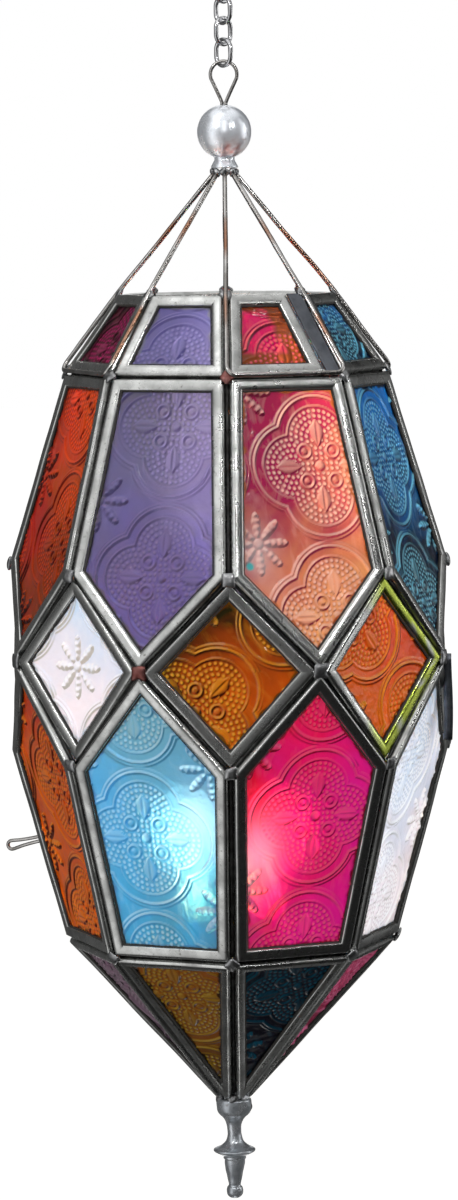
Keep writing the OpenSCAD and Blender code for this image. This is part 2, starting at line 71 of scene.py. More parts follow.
# Hanger wires, neck, collar, ball and eye
WIRE_R, WIRE_BEND, WIRE_GAP = 0.75, 3.0, 0.2
NECK_RISE, NECK_RING_R, COLLAR_H, COLLAR_FOOT_R, COLLAR_TOP_R = 41.8, 2.9, 3.6, 4.4, 3.4
BALL_R, EYE_WIRE_R, EYE_R, EYE_H = 8.8, 0.6, 4.3, 14.6
# Chain links and ring; WIRE_SLACK keeps the facets of wires that hook into each other apart
WIRE_SLACK = 0.03
LINK_WIRE_R, LINK_L, LINK_W, LINK_PLAY, RING_R, RING_WIRE_R = 0.75, 10.0, 8.0, 0.15, 8.0, 1.0
# Door and its handle
DOOR_GAP, HANDLE_L, HANDLE_W, HANDLE_WIRE_R = 0.4, 13.0, 4.0, 0.6
# Candle plate, cup, wax, wick and flame
PLATE_T, CUP_R, CUP_H, CUP_T, WAX_H, WAX_GAP = 0.8, 19.0, 15.0, 0.4, 11.5, 0.1
WICK_H, SEAT_GAP, FLAME_H, FLAME_OVERLAP = 6.0, 0.2, 26.0, 3.0
# Sides of the body, the side of the door, degrees from side to side, and a millimetre in metres
SIDES, DOOR, STEP = 8, 5, 45.0
MM = 0.001

# Height of the widest ring in the frame, from the plate that hangs under it
MID_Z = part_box("candle_plate")[0].z / MM + TRAY_DROP + PLATE_T / 2


def sin(a):
    """Sine of an angle in degrees."""
    return np.sin(np.radians(a))


def cos(a):
    """Cosine of an angle in degrees."""
    return np.cos(np.radians(a))


def flat(r):
    """From the axis to the middle of a side, in a ring of corner radius r."""
    return r * cos(STEP / 2)


def half(r):
    """Half the length of a side, in a ring of corner radius r."""
    return r * sin(STEP / 2)


# Corner radii at the diamonds' upper and lower points, and the tilt of each tier's panes in degrees
BELT_R = (MID_R - (MID_R - flat(SHOULDER_R)) * DIAMOND_RISE / SHOULDER_RISE) / cos(STEP / 2)
LOW_R = (MID_R - (MID_R - flat(TRAY_R)) * DIAMOND_DROP / TRAY_DROP) / cos(STEP / 2)
CROWN_TILT = math.degrees(math.atan2(flat(SHOULDER_R) - flat(CROWN_R), CROWN_RISE))
UPPER_TILT = math.degrees(math.atan2(MID_R - flat(SHOULDER_R), SHOULDER_RISE))
LOWER_TILT = -math.degrees(math.atan2(MID_R - flat(TRAY_R), TRAY_DROP))
CONE_TILT = -math.degrees(math.atan2(flat(TRAY_R) - flat(NOSE_R), NOSE_DROP))
# Heights over the widest ring
TRAY_Z, NOSE_Z, CROWN_Z = -TRAY_DROP, -TRAY_DROP - NOSE_DROP, SHOULDER_RISE + CROWN_RISE
NECK_Z = CROWN_Z + NECK_RISE
COLLAR_TOP_Z = NECK_Z + COLLAR_H
BALL_Z = COLLAR_TOP_Z + math.sqrt(BALL_R**2 - COLLAR_TOP_R**2)
EYE_AXIS_Z = BALL_Z + BALL_R + EYE_H - EYE_WIRE_R
LINK_PITCH = LINK_L - 4 * LINK_WIRE_R - LINK_PLAY
FIRST_LINK_Z = EYE_AXIS_Z - EYE_WIRE_R - LINK_PLAY + LINK_L / 2 - 2 * LINK_WIRE_R
CUP_Z = TRAY_Z + PLATE_T / 2 + SEAT_GAP
WAX_Z = CUP_Z + CUP_T + WAX_GAP
FLAME_Z = WAX_Z + (WAX_H + WICK_H) - FLAME_OVERLAP


def lean(tilt):
    """Slope from level of the corner line between two panes of that tilt."""
    return math.degrees(math.atan2(sin(tilt), cos(tilt) * cos(STEP / 2)))


CROWN_LEAN, UPPER_LEAN, LOWER_LEAN, CONE_LEAN = map(lean, (CROWN_TILT, UPPER_TILT, LOWER_TILT, CONE_TILT))

# Each tier from the top: distance of its panes' face from the axis, height where their y is 0, and tilt
TIERS = {
    "crown": (flat(SHOULDER_R), SHOULDER_RISE, CROWN_TILT),
    "upper": (MID_R, 0.0, UPPER_TILT),
    "diamond": (flat(MID_R), 0.0, 0.0),
    "lower": (MID_R, 0.0, LOWER_TILT),
    "cone": (flat(TRAY_R), TRAY_Z, CONE_TILT),
}


def azimuth(tier, k):
    """Degrees from the front to face k of a tier; the diamonds sit below the corners of the others."""
    return STEP * k + (0 if tier == "diamond" else STEP / 2)


def on_face(tier, k, p):
    """Points given as x along a pane, y up it and z out of it, turned onto face k of a tier."""
    foot, z0, tilt = TIERS[tier]
    az = azimuth(tier, k)
    p = np.asarray(p, float)
    x, y = p[..., 0], -foot + p[..., 1] * sin(tilt) - p[..., 2] * cos(tilt)
    z = z0 + p[..., 1] * cos(tilt) + p[..., 2] * sin(tilt)
    return np.stack([x * cos(az) - y * sin(az), x * sin(az) + y * cos(az), z], -1)


def corner(az, r, z):
    """The point at azimuth az, radius r and height z."""
    return np.array([r * sin(az), -r * cos(az), z])


def outward(az, slope):
    """The direction out from the axis at azimuth az, sloping up from level."""
    return np.array([sin(az) * cos(slope), -cos(az) * cos(slope), sin(slope)])


def out_of(az, r, z, slope, d):
    """The point d mm out along a slope from the corner at azimuth az, radius r and height z."""
    reach = r + d * cos(slope)
    return np.array([reach * sin(az), -reach * cos(az), z + d * sin(slope)])


# Outlines of the panes
def inset(p, d):
    """A convex outline, listed anticlockwise, with each corner moved in along its bisector so that every
    side moves d."""
    p = np.asarray(p, float)
    side = np.roll(p, -1, 0) - p
    side /= np.linalg.norm(side, axis=1, keepdims=True)
    normal = np.stack([-side[:, 1], side[:, 0]], 1)
    before = np.roll(normal, 1, 0)
    return p + (normal + before) * d / (1 + np.sum(normal * before, 1, keepdims=True))


# Heights along the tilted faces, the cone's point, and the half-angle there
UPPER_Y = np.array([0, DIAMOND_RISE, SHOULDER_RISE]) / cos(UPPER_TILT)
LOWER_Y = np.array([0, DIAMOND_DROP, TRAY_DROP]) / cos(LOWER_TILT)
CROWN_LEN, CONE_LEN = CROWN_RISE / cos(CROWN_TILT), NOSE_DROP / cos(CONE_TILT)
CONE_APEX = CONE_LEN * half(TRAY_R) / (half(TRAY_R) - half(NOSE_R))
CONE_HALF = math.degrees(math.atan2(half(TRAY_R), CONE_APEX))
OUTLINES = {
    "upper": [(0, 0), (half(BELT_R), UPPER_Y[1]), (half(SHOULDER_R), UPPER_Y[2]),
              (-half(SHOULDER_R), UPPER_Y[2]), (-half(BELT_R), UPPER_Y[1])],
    "lower": [(0, 0), (-half(LOW_R), -LOWER_Y[1]), (-half(TRAY_R), -LOWER_Y[2]),
              (half(TRAY_R), -LOWER_Y[2]), (half(LOW_R), -LOWER_Y[1])],
    "diamond": [(0, -DIAMOND_DROP), (half(MID_R), 0), (0, DIAMOND_RISE), (-half(MID_R), 0)],
}


def outline(tier, k):
    """The outline of a whole face, frame and all; the first crown face is narrower by its tin strip."""
    if tier != "crown":
        return OUTLINES[tier]
    cut = STRIP_W if k == 0 else 0
    return [(-half(SHOULDER_R), 0), (half(SHOULDER_R) - cut, 0),
            (half(CROWN_R) - cut, CROWN_LEN), (-half(CROWN_R), CROWN_LEN)]


def cone_band(d, short):
    """The cone's pane: its triangle drawn in by d at the sides, and cut off square short of its point."""
    low = CONE_LEN - short

    def side(y):
        return (CONE_APEX - y) * math.tan(math.radians(CONE_HALF)) - d / cos(CONE_HALF)

    return np.array([(-side(low), -low), (side(low), -low), (side(d), -d), (-side(d), -d)])


def cone_window(d):
    """The cone frame's opening: the triangle drawn in by d, its point cut short to give four corners."""
    p = inset([(0, -CONE_APEX), (half(TRAY_R), 0), (-half(TRAY_R), 0)], d)
    tip = 0.2
    return np.array([p[0] + (-tip, tip * 3), p[0] + (tip, tip * 3), p[1], p[2]])


# Meshes from arrays
class Shape:
    """Arrays of one closed shape: points, four-cornered faces, rings as whole faces, and values per point."""

    def __init__(self, points, quads, rings=(), sharp=None, **values):
        self.points = np.asarray(points, float).reshape(-1, 3)
        self.quads = np.asarray(quads, np.int64).reshape(-1, 4)
        self.rings = [np.asarray(r, np.int64) for r in rings]
        self.sharp = np.zeros(len(self.points), bool) if sharp is None else np.asarray(sharp, bool).ravel()
        self.values = {k: np.asarray(v, float) for k, v in values.items()}
        p = self.points - self.points.mean(0)
        a, b, c, d = (p[self.quads[:, i]] for i in range(4))
        volume = np.sum(a * np.cross(b, c)) + np.sum(a * np.cross(c, d))
        for r in self.rings:
            f = p[r]
            volume += np.sum(f[0] * np.cross(f[1:-1], f[2:]))
        if volume < 0:
            self.quads = self.quads[:, ::-1]
            self.rings = [r[::-1] for r in self.rings]


def build(name, shapes, material, body, stands_for=()):
    """One piece from several shapes, whose points go from mm about the widest ring to metres in the frame."""
    counts = np.cumsum([0] + [len(s.points) for s in shapes])
    points = np.concatenate([s.points for s in shapes]) + (0, 0, MID_Z)
    quads = np.concatenate([s.quads + n for s, n in zip(shapes, counts)])
    rings = [r + n for s, n in zip(shapes, counts) for r in s.rings]
    corners = np.concatenate([quads.ravel()] + rings)
    sizes = np.concatenate([np.full(len(quads), 4), [len(r) for r in rings]]).astype(np.int32)
    mesh = bpy.data.meshes.new(name)
    mesh.vertices.add(len(points))
    mesh.vertices.foreach_set("co", (points * MM).astype(np.float32).ravel())
    mesh.loops.add(len(corners))
    mesh.loops.foreach_set("vertex_index", corners.astype(np.int32))
    mesh.polygons.add(len(sizes))
    mesh.polygons.foreach_set("loop_start", (np.cumsum(sizes) - sizes).astype(np.int32))
    smooth = np.ones(len(sizes), bool)
    smooth[len(quads):] = False
    mesh.polygons.foreach_set("use_smooth", smooth)
    mesh.update(calc_edges=True)
    sharp = np.concatenate([s.sharp for s in shapes])
    if sharp.any():
        ends = np.empty(len(mesh.edges) * 2, np.int32)
        mesh.edges.foreach_get("vertices", ends)
        ends = ends.reshape(-1, 2)
        mark = mesh.attributes.new("sharp_edge", "BOOLEAN", "EDGE")
        mark.data.foreach_set("value", sharp[ends[:, 0]] & sharp[ends[:, 1]])
    for key in shapes[0].values:
        value = np.concatenate([s.values[key] for s in shapes])
        if value.ndim == 2:
            layer = mesh.uv_layers.new(name=key)
            layer.data.foreach_set("uv", value[corners].astype(np.float32).ravel())
        else:
            layer = mesh.attributes.new(key, "FLOAT", "POINT")
            layer.data.foreach_set("value", value.astype(np.float32))
    mesh.validate()
    mesh.materials.append(material)
    piece = bpy.data.objects.new(name, mesh)
    bpy.context.scene.collection.objects.link(piece)
    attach(piece, body)
    if stands_for:
        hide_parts(*stands_for)


def grid_quads(rows, cols, close_rows=False, close_cols=False):
    """Corner numbers of the faces of a rows by cols grid of points, which may join up either way."""
    i = np.arange(rows if close_rows else rows - 1)[:, None]
    j = np.arange(cols if close_cols else cols - 1)[None, :]
    i2, j2 = (i + 1) % rows, (j + 1) % cols
    return np.stack([i * cols + j, i * cols + j2, i2 * cols + j2, i2 * cols + j], -1).reshape(-1, 4)


def ripple(p, length, seed, octaves=3):
    """A soft unevenness of about -1 to 1: sines of seeded directions, each octave half as long and high."""
    rng = np.random.default_rng(seed)
    p = np.asarray(p, float)
    total = np.zeros(p.shape[:-1])
    for octave in range(octaves):
        for _ in range(4):
            way = rng.normal(size=p.shape[-1])
            way *= 2 * math.pi * 2**octave / length / np.linalg.norm(way)
            total += np.sin(p @ way + rng.uniform(0, 2 * math.pi)) * 0.5**octave / 2.6
    return total


def step(x, low, high):
    """0 below low, 1 above high, and a smooth S between."""
    t = np.clip((x - low) / (high - low), 0, 1)
    return t * t * (3 - 2 * t)


def end_rings(n, count):
    """The first and the last ring of a tube of n rings of count points, as two faces."""
    return [np.arange(count)[::-1], (n - 1) * count + np.arange(count)]


def wire_shape(path, radius, side, count=14, closed=False):
    """A round wire: at each point of the path a ring of count points, square to it, the first set by side."""
    p = np.asarray(path, float)
    way = np.roll(p, -1, 0) - np.roll(p, 1, 0) if closed else np.gradient(p, axis=0)
    way /= np.linalg.norm(way, axis=1, keepdims=True)
    u = np.cross(np.broadcast_to(side, p.shape), way)
    u /= np.linalg.norm(u, axis=1, keepdims=True)
    v = np.cross(way, u)
    a = np.arange(count) * 2 * np.pi / count
    r = np.broadcast_to(radius, len(p))[:, None, None]
    around = u[:, None] * np.cos(a)[None, :, None] + v[:, None] * np.sin(a)[None, :, None]
    rings = [] if closed else end_rings(len(p), count)
    return Shape(p[:, None] + r * around, grid_quads(len(p), count, closed, True), rings)


def lathe_shape(profile, count=64, wobble=0.0, seed=1):
    """A turned shape: each (radius, height) of the profile carried round the axis; its two ends are flat
    discs. wobble says how far its skin strays, in mm."""
    profile = np.asarray(profile, float)
    a = np.arange(count) * 2 * np.pi / count
    points = np.stack([profile[:, :1] * np.cos(a), profile[:, :1] * np.sin(a),
                       np.broadcast_to(profile[:, 1:], (len(profile), count))], -1)
    if wobble:
        stray = wobble * ripple(points, 9.0, seed) / np.maximum(profile[:, :1], 1)
        points = points * (1 + stray[..., None] * (1, 1, 0))
    return Shape(points, grid_quads(len(profile), count, False, True), end_rings(len(profile), count))


def rounded(points, per=6):
    """A smooth curve through points: Catmull-Rom pieces, per steps to each."""
    p = np.asarray(points, float)
    p = np.concatenate([[2 * p[0] - p[1]], p, [2 * p[-1] - p[-2]]])
    t = (np.arange(per) / per)[None, :, None]
    a, b, c, d = p[:-3, None], p[1:-2, None], p[2:-1, None], p[3:, None]
    curve = 0.5 * (2 * b + (c - a) * t + (2 * a - 5 * b + 4 * c - d) * t**2 + (3 * b - a - 3 * c + d) * t**3)
    return np.concatenate([curve.reshape(-1, p.shape[1]), p[-2:-1]])


def lump_shape(centre, out, size, seed, fingers=0, turn=0.0, squash=0.55):
    """A blob of solder: a ball flattened along out, whose outline swells and runs out in four fingers, and
    whose skin is uneven."""
    rows, cols = 10, 24
    out = np.asarray(out, float) / np.linalg.norm(out)
    east = np.cross((0, 0, 1), out)
    east /= np.linalg.norm(east)
    north = np.cross(out, east)
    up = np.linspace(0, np.pi, rows + 2)[1:-1, None]
    along = (np.arange(cols) * 2 * np.pi / cols)[None, :]
    finger = fingers * 0.5 * (1 + np.cos(4 * (along - math.radians(turn)))) ** 2 / 2
    r = size * (1 + finger * np.sin(up) ** 2)
    way = (np.sin(up) * np.cos(along))[..., None] * east + (np.sin(up) * np.sin(along))[..., None] * north
    way = way * r[..., None] + (np.cos(up) * size * squash)[..., None] * np.broadcast_to(out, way.shape)
    way = way * (1 + 0.16 * ripple(way + 7.0 * seed, 2.6 * size, seed, 2))[..., None]
    return Shape(centre + way, grid_quads(rows, cols, False, True), end_rings(rows, cols))


# Finishes
def linear(colour):
    """A hex sRGB colour as the linear values that Blender reads."""
    c = np.array([int(colour[i:i + 2], 16) for i in (1, 3, 5)]) / 255
    c = np.where(c <= 0.04045, c / 12.92, ((c + 0.055) / 1.055) ** 2.4)
    return (*map(float, c), 1.0)


def add(tree, kind, inputs=None, **settings):
    """Adds a node with its settings. For each socket, inputs holds a value or another node's output."""
    made = tree.nodes.new(kind)
    for key, value in settings.items():
        setattr(made, key, value)
    for key, value in (inputs or {}).items():
        if isinstance(value, bpy.types.NodeSocket):
            tree.links.new(value, made.inputs[key])
        else:
            made.inputs[key].default_value = value
    return made


def blank(name):
    """A new material and its node tree, still empty."""
    material = bpy.data.materials.new(name)
    material.use_nodes = True
    material.node_tree.nodes.clear()
    return material, material.node_tree


def painted(tree, under, over, amount, low=0.0, high=1.0, most=1.0):
    """The colour under, covered by the colour over where amount passes from low to high, and by most at the
    most. Each colour is hex or another node's output."""
    under, over = (linear(c) if isinstance(c, str) else c for c in (under, over))
    span = {"Value": amount, "From Min": low, "From Max": high, "To Max": most}
    cover = add(tree, "ShaderNodeMapRange", span).outputs[0]
    return add(tree, "ShaderNodeMix", {0: cover, 6: under, 7: over}, data_type="RGBA").outputs[2]


def metal(name, light, dark, speckle, rough, patch_mm, drag, bump_mm, tint=None, share=1.0):
    """A metal, uncoated: two greys in soft patches, a darker colour in specks, roughness from the patches and
    a skin of fine lines, longest where drag is small. A tint covers it by a value of the shape's own: rust or
    reddish solder on some pieces, a painted reflection on one tinplate frame and on the ball."""
    speck_mm, line_mm = 1.6, 0.9
    material, tree = blank(name)
    where = add(tree, "ShaderNodeTexCoord").outputs["Object"]
    dragged = add(tree, "ShaderNodeMapping", {"Vector": where, "Scale": drag}).outputs[0]
    cloud, speck, fine = (
        add(tree, "ShaderNodeTexNoise", {"Vector": at, "Scale": 1 / (size * MM), "Detail": detail,
                                         "Roughness": grain}).outputs["Fac"]
        for at, size, detail, grain in ((where, patch_mm, 3.0, 0.55), (where, speck_mm, 4.0, 0.7),
                                        (dragged, line_mm, 3.0, 0.6)))
    colour = painted(tree, light, dark, cloud, 0.35, 0.68)
    colour = painted(tree, colour, speckle, speck, 0.6, 0.72, 0.75)
    if tint:
        stain_and_reflection = add(tree, "ShaderNodeAttribute", attribute_name="stain_and_reflection").outputs["Fac"]
        colour = painted(tree, colour, tint, stain_and_reflection)
    dullness = add(tree, "ShaderNodeMapRange", {"Value": cloud, "From Min": 0.3, "From Max": 0.7,
                                                "To Min": rough[0], "To Max": rough[1]}).outputs[0]
    skin = add(tree, "ShaderNodeBump", {"Height": fine, "Strength": 1.0, "Distance": bump_mm * MM}).outputs[0]
    body = add(tree, "ShaderNodeBsdfPrincipled", {
        "Base Color": colour, "Metallic": share, "Roughness": dullness, "Normal": skin})
    add(tree, "ShaderNodeOutputMaterial", {"Surface": body.outputs[0]})
    return material


# A metal's skin that was dragged no way more than another
EVEN = (1, 1, 1)
# Tinplate folded by hand: light grey, dulled in patches, with dark flux specks; it mirrors the room softly.
# Its tint is a yellow-green reflection, painted onto one frame
TINPLATE = metal("hand_folded_tinplate", "#d2d3d1", "#a4a5a3", "#54524c", (0.2, 0.36), 8.0, (1, 1, 0.35),
                 0.012, "#a8b810")
# The strip beside the magenta pane is darkened tin, bluish and duller
DARK_TIN = metal("darkened_tin_strip", "#70737a", "#54575d", "#3a3b3e", (0.35, 0.5), 6.0, (1, 1, 0.3), 0.03)
# Lead-tin solder, laid with an iron: satin grey, with brownish flux in specks, and reddish on a few joints
SOLDER = metal("lead_tin_solder", "#b4b5b6", "#7f8082", "#4b4038", (0.25, 0.5), 3.0, EVEN, 0.045, "#7a2f22")
# Solder run into the grooves from inside, dull and blackened
SEAM = metal("blackened_seam_solder", "#4a4a49", "#2c2b2a", "#1b1917", (0.45, 0.65), 4.0, EVEN, 0.08)
# Bare iron wire, drawn: bright grey with brown specks, and rust on some stretches
WIRE = metal("drawn_iron_wire", "#cac8c6", "#94918d", "#6c5644", (0.16, 0.3), 9.0, (1, 1, 0.2),
             0.004, "#9a5c2c")
# Nickel-plated steel of the chain: bright and almost smooth
CHAIN = metal("nickel_plated_steel", "#e0e0e2", "#bfc0c3", "#808082", (0.14, 0.28), 5.0, EVEN, 0.015)
# Aluminium ball, satin silver lacquer that spreads its highlights; a reddish reflection painted low in front
BALL = metal("satin_aluminium", "#e2e6ec", "#cbd0d7", "#b0b4ba", (0.24, 0.34), 12.0, EVEN, 0.012,
             "#8c3422", 0.8)
# Sand-cast aluminium of the finial, grey and faintly grainy, with darker specks
CAST = metal("cast_aluminium", "#c6cacf", "#9aa0a6", "#4d4f52", (0.22, 0.36), 4.0, EVEN, 0.06, share=0.9)
# Thin galvanised plate under the candle, grey and dull
PLATE = metal("galvanised_plate", "#a3a39d", "#85857f", "#5d5c57", (0.35, 0.5), 10.0, EVEN, 0.03)
# Deep-drawn aluminium foil of the tealight cup, pale and bright
FOIL = metal("drawn_aluminium_foil", "#dcdddf", "#c4c5c8", "#9b9ca0", (0.22, 0.36), 6.0, EVEN, 0.03)


def cloudy(name, shade, other, patch_mm, **body):
    """A soft material of two shades in cloudy patches, with the values of its surface."""
    material, tree = blank(name)
    where = add(tree, "ShaderNodeTexCoord").outputs["Object"]
    cloud = add(tree, "ShaderNodeTexNoise", {"Vector": where, "Scale": 1 / (patch_mm * MM), "Detail": 3.0,
                                             "Roughness": 0.55}).outputs["Fac"]
    inputs = {key.replace("_", " "): value for key, value in body.items()}
    inputs["Base Color"] = painted(tree, shade, other, cloud)
    shader = add(tree, "ShaderNodeBsdfPrincipled", inputs)
    add(tree, "ShaderNodeOutputMaterial", {"Surface": shader.outputs[0]})
    return material


# A dark line of painted shadow where each pane meets its frame, dull and soft
SHADOW_LINE = cloudy("black_glazing_putty", "#0c0c0b", "#2a2825", 2.0, Roughness=0.7)
# White paraffin wax: a little translucent, with a soft sheen
PARAFFIN = cloudy("white_paraffin_wax", "#f4efe2", "#e6dfcc", 5.0, Roughness=0.4, Subsurface_Weight=0.3,
                  Subsurface_Radius=(0.004, 0.003, 0.002))


def cotton():
    """Braided cotton wick, charred black, with soft brown bands where the braid shows."""
    material, tree = blank("charred_cotton_wick")
    where = add(tree, "ShaderNodeTexCoord").outputs["Object"]
    braid = add(tree, "ShaderNodeTexWave", {"Vector": where, "Scale": 1 / (0.9 * MM) / 20, "Distortion": 1.5})
    colour = painted(tree, "#1c1613", "#4a3b2d", braid.outputs["Fac"])
    shader = add(tree, "ShaderNodeBsdfPrincipled", {"Base Color": colour, "Roughness": 0.9})
    add(tree, "ShaderNodeOutputMaterial", {"Surface": shader.outputs[0]})
    return material


def flame_light(top, foot):
    """A candle flame: orange and dim at its foot, yellow-white from a third of its height up."""
    material, tree = blank("candle_flame")
    where = add(tree, "ShaderNodeTexCoord").outputs["Object"]
    height = add(tree, "ShaderNodeSeparateXYZ", {"Vector": where}).outputs["Z"]
    colour = painted(tree, "#c07a3c", "#ffe2a8", height, foot, (foot * 2 + top) / 3)
    shader = add(tree, "ShaderNodeBsdfPrincipled", {
        "Base Color": colour, "Roughness": 0.6, "Emission Color": colour, "Emission Strength": 9.0})
    add(tree, "ShaderNodeOutputMaterial", {"Surface": shader.outputs[0]})
    return material


# Pressed glass, lacquered inside by hand. slot: upper colour, lower colour, thin lacquer and painted
# highlight, colour at the rim, painted shade, turn of the fade, how far it is moved
TINTS = {
    "glass_magenta": ("#ff0078", "#e80060", "#ff5c74", "#8c3c0c", "#5c0428", 0, 0.0),
    "glass_blue": ("#0088f0", "#011434", "#84e4ff", "#04203c", "#011830", 8, 0.15),
    "glass_maroon": ("#280212", "#1c020a", "#e01880", "#20060c", "#14020a", 0, 0.0),
    "glass_violet": ("#564e9d", "#635b93", "#847cc0", "#6c6c80", "#3c3478", 0, 0.0),
    "glass_rose": ("#ac0c50", "#ffb870", "#ffdcd0", "#a85424", "#700c34", -42, -0.22),
    "glass_mauve": ("#665e74", "#685cac", "#8076ac", "#625a78", "#504670", 5, 0.0),
    "glass_red_orange": ("#d80628", "#903a04", "#f05018", "#601804", "#300404", -80, 0.15),
    "glass_amber": ("#141e02", "#e45c02", "#ffb81c", "#704404", "#2c1202", -25, -0.03),
    "glass_orange": ("#d83802", "#ff6c04", "#ffa428", "#6c2804", "#440e02", 30, 0.0),
    "glass_clear": ("#c8e0f8", "#fbeef3", "#ffffff", "#c8ccd2", "#bcb8b0", 0, 0.0),
    "glass_light_blue": ("#70c6e4", "#40b0d8", "#ccf4ff", "#5a9cc8", "#3c90bc", 0, 0.0),
    "glass_crimson": ("#ff0830", "#ff14a8", "#ff5c84", "#981030", "#5c0016", -75, 0.0),
    "glass_navy": ("#030a1c", "#0a0418", "#065068", "#060910", "#03060c", 0, 0.0),
    "glass_pink": ("#d82868", "#b82458", "#f080b0", "#701838", "#641030", 0, 0.0),
    "glass_dull_mauve": ("#8c6880", "#745870", "#b8a0b0", "#504050", "#402c38", 0, 0.0),
    "glass_olive_amber": ("#a05408", "#704004", "#b89824", "#38200a", "#301804", 0, 0.0),
}
# Colour of the pale spots, worn lacquer and the candle's painted glow, and of the blue flecks
WORN_AND_GLOW_WHITE, BLUE_FLECK = "#f3f3f6", "#38c8d0"
SHEET_MM = 100.0  # of sheet to one unit of the map named sheet


def pressed_glass(slot):
    """Pressed sheet glass, lacquered by hand: two colours that fade into each other, lighter streaks, lacquer
    laid thinly on the ridges and beads, a painted highlight on the slopes of the relief that face up and
    left, painted shade on the slopes that face down and right, and a rim of another colour; a glossy, chilled
    skin. The map named sheet gives the place on the sheet; the other values are worked out with the shape."""
    top, low, thin_lacquer_and_highlight, rim, painted_shade_colour, turn, moved = TINTS[slot]
    material, tree = blank("pressed_" + slot)
    sheet = add(tree, "ShaderNodeUVMap", uv_map="sheet").outputs[0]
    pane = add(tree, "ShaderNodeUVMap", uv_map="pane").outputs[0]
    t = math.radians(turn)
    middle = (-(math.cos(t) - math.sin(t)) / 2, -(math.cos(t) + math.sin(t)) / 2, 0)
    placed = {"Vector": pane, "Location": middle, "Rotation": (0, 0, t)}
    turned = add(tree, "ShaderNodeMapping", placed).outputs[0]
    up = add(tree, "ShaderNodeSeparateXYZ", {"Vector": turned}).outputs["Y"]
    cloud_mm, streaks_to_unit, chill_mm = 25.0, 9.0, 3.0
    cloud = add(tree, "ShaderNodeTexNoise", {"Vector": sheet, "Scale": SHEET_MM / cloud_mm, "Detail": 3.0,
                                             "Distortion": 0.8}).outputs["Fac"]
    mixed = add(tree, "ShaderNodeMath", {0: cloud, 1: up}, operation="ADD").outputs[0]
    colour = painted(tree, low, top, mixed, 0.25 + moved, 0.85 + moved)
    drawn = add(tree, "ShaderNodeMapping", {"Vector": sheet, "Scale": (2.0, 0.7, 1.0)}).outputs[0]
    streaks = add(tree, "ShaderNodeTexNoise", {"Vector": drawn, "Scale": streaks_to_unit, "Detail": 4.0,
                                               "Distortion": 1.4}).outputs["Fac"]
    colour = painted(tree, colour, thin_lacquer_and_highlight, streaks, 0.52, 0.75, 0.25)
    # Two values are painted light from the upper left: highlight where slopes face it, shade where they face
    # away
    # The shape's values, each laid over the last: where it starts, where it is full, its most, its colour
    for key, start, full, most, tint in (
            ("ridge", 0.3, 1.0, 0.5, thin_lacquer_and_highlight), ("painted_highlight", 0.1, 0.9, 0.9, thin_lacquer_and_highlight), ("painted_shade", 0.05, 0.55, 1.0, painted_shade_colour),
            ("rim", 0.0, 1.0, 1.0, rim), ("pale", 0.0, 1.0, 1.0, WORN_AND_GLOW_WHITE),
            ("fleck", 0.0, 1.0, 1.0, BLUE_FLECK), ("dots", 0.3, 0.8, 0.9, thin_lacquer_and_highlight)):
        value = add(tree, "ShaderNodeAttribute", attribute_name=key).outputs["Fac"]
        colour = painted(tree, colour, tint, value, start, full, most)
    chill = add(tree, "ShaderNodeTexNoise", {"Vector": sheet, "Scale": SHEET_MM / chill_mm,
                                             "Detail": 2.0}).outputs["Fac"]
    skin = add(tree, "ShaderNodeBump", {"Height": chill, "Strength": 1.0, "Distance": 0.25 * MM}).outputs[0]
    body = add(tree, "ShaderNodeBsdfPrincipled", {
        "Base Color": colour, "Roughness": 0.34, "IOR": 1.45, "Specular IOR Level": 0.08,
        "Specular Tint": linear("#595959"), "Transmission Weight": 0.5 if slot == "glass_clear" else 0.75,
        "Coat Weight": 0.6, "Coat Roughness": 0.05, "Normal": skin, "Coat Normal": skin})
    add(tree, "ShaderNodeOutputMaterial", {"Surface": body.outputs[0]})
    return material


# Pressed panes
TILE = 48.4  # from one four-lobed figure to the next
LOBE_R, LOBE_AT = 9.8, 9.2  # each lobe of a figure, and how far its middle is from the figure's
DOT_PITCH, DOT_R = 1.75, 0.6
SUNK, RELIEF_H, WAVE_H = 0.88, 0.66, 0.06  # the sheet's face under the solid pane's, and the heights on it
TIP = 0.7  # how far from a pointed end of a pane its last row lies


def ridge(x, at, wide):
    """A round ridge at the place at: e to the power of minus the square of the distance over wide."""
    return np.exp(-((x - at) / wide) ** 2)


def dome(x, reach):
    """A dome on 0: the square root of 1 less the square of x over reach, and 0 beyond reach."""
    return np.sqrt(np.clip(1 - (x / reach) ** 2, 0, 1))


